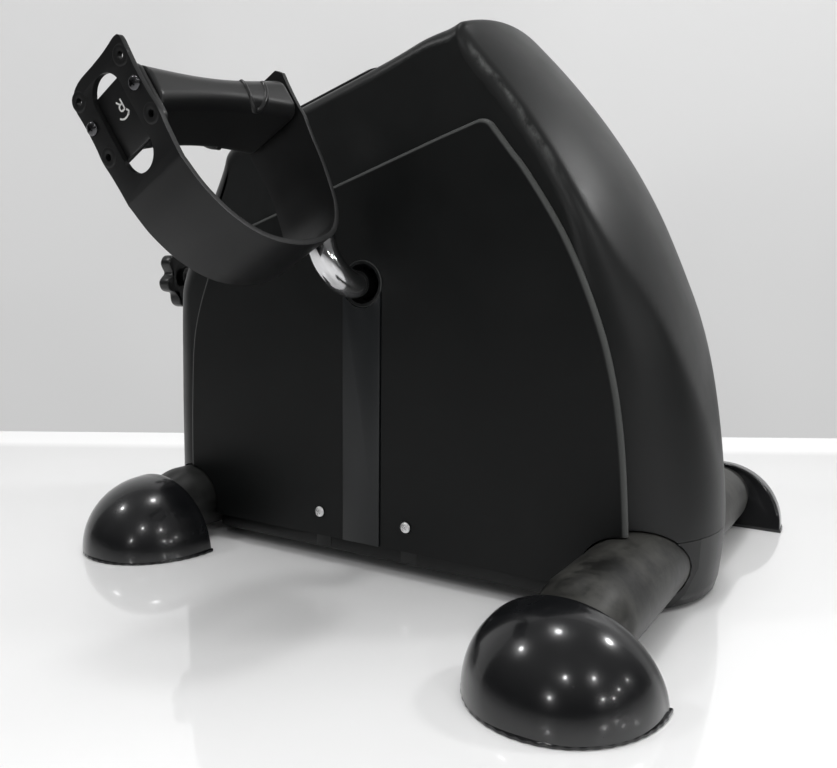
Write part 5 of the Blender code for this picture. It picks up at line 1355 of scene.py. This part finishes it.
def make_marks():
    """The letter in three strokes, then the arrow's shaft and its head."""
    for index, line in enumerate(LETTER):
        stroke("mark_letter_%d" % index,
               [(LETTER_AT[0] + up * LETTER_HEIGHT, LETTER_AT[1] + (0.62 - along) * LETTER_HEIGHT)
                for up, along in line])
    shaft = [(ARROW_MIDDLE[0] + ARROW_RADIUS * math.cos(angle),
              ARROW_MIDDLE[1] + ARROW_RADIUS * math.sin(angle))
             for angle in np.linspace(math.radians(-52), math.radians(48), 9)]
    tip = shaft[-1]
    head = [(tip[0] - 0.0012, tip[1] - 0.0007), tip, (tip[0] + 0.0011, tip[1] - 0.0010)]
    stroke("mark_arrow_0", shaft)
    stroke("mark_arrow_1", head)


make_marks()


# Camera

CAMERA_AT = (0.26355, -0.4284, 0.1561)
CAMERA_YAW = -0.5432
CAMERA_PITCH = -0.1219
CAMERA_ROLL = 0.0108
CAMERA_LENS = 35.90


def make_camera():
    """The camera fitted to the photo, from its place, yaw, pitch, roll and lens."""
    data = bpy.data.cameras.new("camera")
    data.lens = CAMERA_LENS
    data.sensor_width = 36.0
    data.clip_start = 0.01
    camera = bpy.data.objects.new("camera", data)
    bpy.context.scene.collection.objects.link(camera)
    bpy.context.scene.camera = camera
    ahead = Vector((math.sin(CAMERA_YAW) * math.cos(CAMERA_PITCH),
                    math.cos(CAMERA_YAW) * math.cos(CAMERA_PITCH), math.sin(CAMERA_PITCH)))
    level = Vector((math.cos(CAMERA_YAW), -math.sin(CAMERA_YAW), 0.0))
    above = level.cross(ahead)
    right = level * math.cos(CAMERA_ROLL) + above * math.sin(CAMERA_ROLL)
    up = above * math.cos(CAMERA_ROLL) - level * math.sin(CAMERA_ROLL)
    basis = Matrix((right, up, -ahead)).transposed().to_4x4()
    camera.matrix_world = Matrix.Translation(CAMERA_AT) @ basis


make_camera()


# Floor, backdrop and light

EDGE_AHEAD = 0.845        # camera to the table's far edge
EDGE_TILT = 0.0125        # how much farther that edge is per metre to the right
TABLE_SIDE = 2.5
GLOW_STRIP = (0.085, 0.060)   # before that edge, where the table's glow starts and is full
WALL_AHEAD = 1.60
FLOOR_GLOW = 0.30
WALL_GLOW = 0.34
AHEAD = Vector((math.sin(CAMERA_YAW), math.cos(CAMERA_YAW), 0.0))
ACROSS = Vector((math.cos(CAMERA_YAW), -math.sin(CAMERA_YAW), 0.0))


def stage_plane(name, corners, material):
    """A flat stage piece from corners (forward, sideways, height) seen from the camera."""
    base = Vector((CAMERA_AT[0], CAMERA_AT[1], 0.0))
    up = Vector((0.0, 0.0, 1.0))
    mesh = bpy.data.meshes.new(name)
    mesh.from_pydata([base + AHEAD * forward + ACROSS * sideways + up * height
                      for forward, sideways, height in corners], [], [(0, 1, 2, 3)])
    mesh.materials.append(material)
    item = bpy.data.objects.new(name, mesh)
    bpy.context.scene.collection.objects.link(item)


def backdrop_glow(tree, shader, strength):
    """A glow that the camera and mirrors see, and that puts no light on the object."""
    path = node(tree, "ShaderNodeLightPath")
    seen = maths(tree, "ADD", path.outputs["Is Camera Ray"], path.outputs["Is Glossy Ray"],
                 clamp=True)
    seen = maths(tree, "ADD", seen, path.outputs["Is Transmission Ray"], clamp=True)
    tree.links.new(maths(tree, "MULTIPLY", seen, strength), shader.inputs["Emission Strength"])


def floor_material():
    """The glossy white table, with a faint glow on the strip along its far edge."""
    made, tree, shader, where = start("table_white", coat=1.0, coat_roughness=0.03)
    shader.inputs["Roughness"].default_value = 0.35
    shader.inputs["Base Color"].default_value = (0.96, 0.96, 0.96, 1.0)
    shader.inputs["Coat IOR"].default_value = 1.7
    wave = noise(tree, where, 3.0, 2.0)
    tree.links.new(bumps(tree, ((wave, 0.05, 0.002),)), shader.inputs["Normal"])
    reach = node(tree, "ShaderNodeVectorMath", {0: where, 1: AHEAD}, operation="DOT_PRODUCT")
    start_at = CAMERA_AT[0] * AHEAD[0] + CAMERA_AT[1] * AHEAD[1]
    away = maths(tree, "SUBTRACT", reach.outputs["Value"], start_at)
    glow = ramp(tree, away, ((EDGE_AHEAD - GLOW_STRIP[0], 0.0),
                             (EDGE_AHEAD - GLOW_STRIP[1], FLOOR_GLOW)))
    tree.links.new(glow, shader.inputs["Emission Color"])
    backdrop_glow(tree, shader, 1.0)
    return made


def wall_material():
    """The cloudy grey wall behind the table."""
    made, tree, shader, where = start("wall_grey", specular=0.1)
    shader.inputs["Roughness"].default_value = 0.8
    cloud = noise(tree, where, 1.2, 2.0)
    tone = ramp(tree, cloud, ((0.35, 0.36), (0.65, 0.42)))
    tree.links.new(tone, shader.inputs["Base Color"])
    shader.inputs["Emission Color"].default_value = (1.0, 1.0, 1.0, 1.0)
    backdrop_glow(tree, shader, WALL_GLOW)
    return made


stage_plane("table", [(-2.0, -TABLE_SIDE, 0.0), (-2.0, TABLE_SIDE, 0.0),
                      (EDGE_AHEAD + TABLE_SIDE * EDGE_TILT, TABLE_SIDE, 0.0),
                      (EDGE_AHEAD - TABLE_SIDE * EDGE_TILT, -TABLE_SIDE, 0.0)], floor_material())
stage_plane("wall", [(WALL_AHEAD, -4.0, -1.0), (WALL_AHEAD, 4.0, -1.0), (WALL_AHEAD, 4.0, 2.6),
                     (WALL_AHEAD, -4.0, 2.6)], wall_material())


def lamp(name, place, target, size, energy, size_y=None):
    """A lamp that faces a target: a disk, or a rectangle if a second size is given."""
    data = bpy.data.lights.new(name, "AREA")
    data.shape = "DISK"
    data.size = size
    if size_y is not None:
        data.shape = "RECTANGLE"
        data.size_y = size_y
    data.energy = energy
    item = bpy.data.objects.new(name, data)
    bpy.context.scene.collection.objects.link(item)
    item.location = place
    item.rotation_euler = (Vector(target) - Vector(place)).to_track_quat("-Z", "Y").to_euler()
    return item


CEILING = (("over", (0.00, -0.09, 2.00), 0.22, 6.0), ("right", (1.19, 0.85, 1.44), 0.25, 7.0),
           ("left", (-0.98, -0.93, 1.49), 0.16, 3.9), ("front_0", (0.79, -1.56, 1.31), 0.12, 2.6),
           ("front_1", (1.64, -0.87, 1.20), 0.11, 2.3), ("low_0", (0.38, -2.07, 0.61), 0.11, 1.7),
           ("low_1", (1.98, -0.90, 0.50), 0.09, 1.3), ("low_2", (2.12, -0.48, 0.40), 0.07, 0.8),
           ("low_3", (2.10, -0.15, 0.57), 0.07, 0.8), ("low_4", (2.00, 0.38, 0.63), 0.07, 0.7))
ROOM_GREY = (0.34, 0.34, 0.34)    # what lights dull surfaces
SEEN_GREY = (0.66, 0.66, 0.66)    # what the camera sees past the wall
STREAK_AT = Vector((0.78, 1.49, 1.28))
STREAK_TARGET = Vector((0.12, 0.0, 0.2))
STREAK_ALONG = Vector((0.90, 0.05, -0.75))


def make_lamps():
    """A soft overhead that no gloss shows, the ceiling's spots, and a long lamp behind."""
    soft = lamp("overhead", (0.1, -0.05, 1.9), (0.0, 0.0, 0.0), 1.6, 18.0, 1.2)
    soft.visible_glossy = False
    for name, place, size, energy in CEILING:
        lamp("ceiling_" + name, place, (0.0, 0.0, 0.05), size, energy)
    streak = lamp("behind", STREAK_AT, STREAK_TARGET, 1.25, 3.1, 0.10)
    facing = (STREAK_TARGET - STREAK_AT).normalized()
    across = facing.cross(STREAK_ALONG.normalized()).normalized()
    basis = Matrix((across.cross(facing), across, -facing))
    streak.rotation_euler = basis.transposed().to_euler()


def make_world():
    """The room's light: one grey for diffuse light, one for the camera, a gradient for gloss."""
    world = bpy.data.worlds.new("studio")
    bpy.context.scene.world = world
    world.use_nodes = True
    tree = world.node_tree
    path = node(tree, "ShaderNodeLightPath")
    height = axis_of(tree, node(tree, "ShaderNodeTexCoord").outputs["Generated"], "Z")
    around = ramp(tree, maths(tree, "MULTIPLY_ADD", height, 0.5, 0.5),
                  ((0.35, 0.07), (0.55, 0.07), (0.85, 0.27)))
    around = mix(tree, path.outputs["Is Diffuse Ray"], around, ROOM_GREY)
    seen = mix(tree, path.outputs["Is Camera Ray"], around, SEEN_GREY)
    tree.links.new(seen, tree.nodes["Background"].inputs["Color"])


make_lamps()
make_world()
bpy.context.scene.view_settings.view_transform = "Standard"
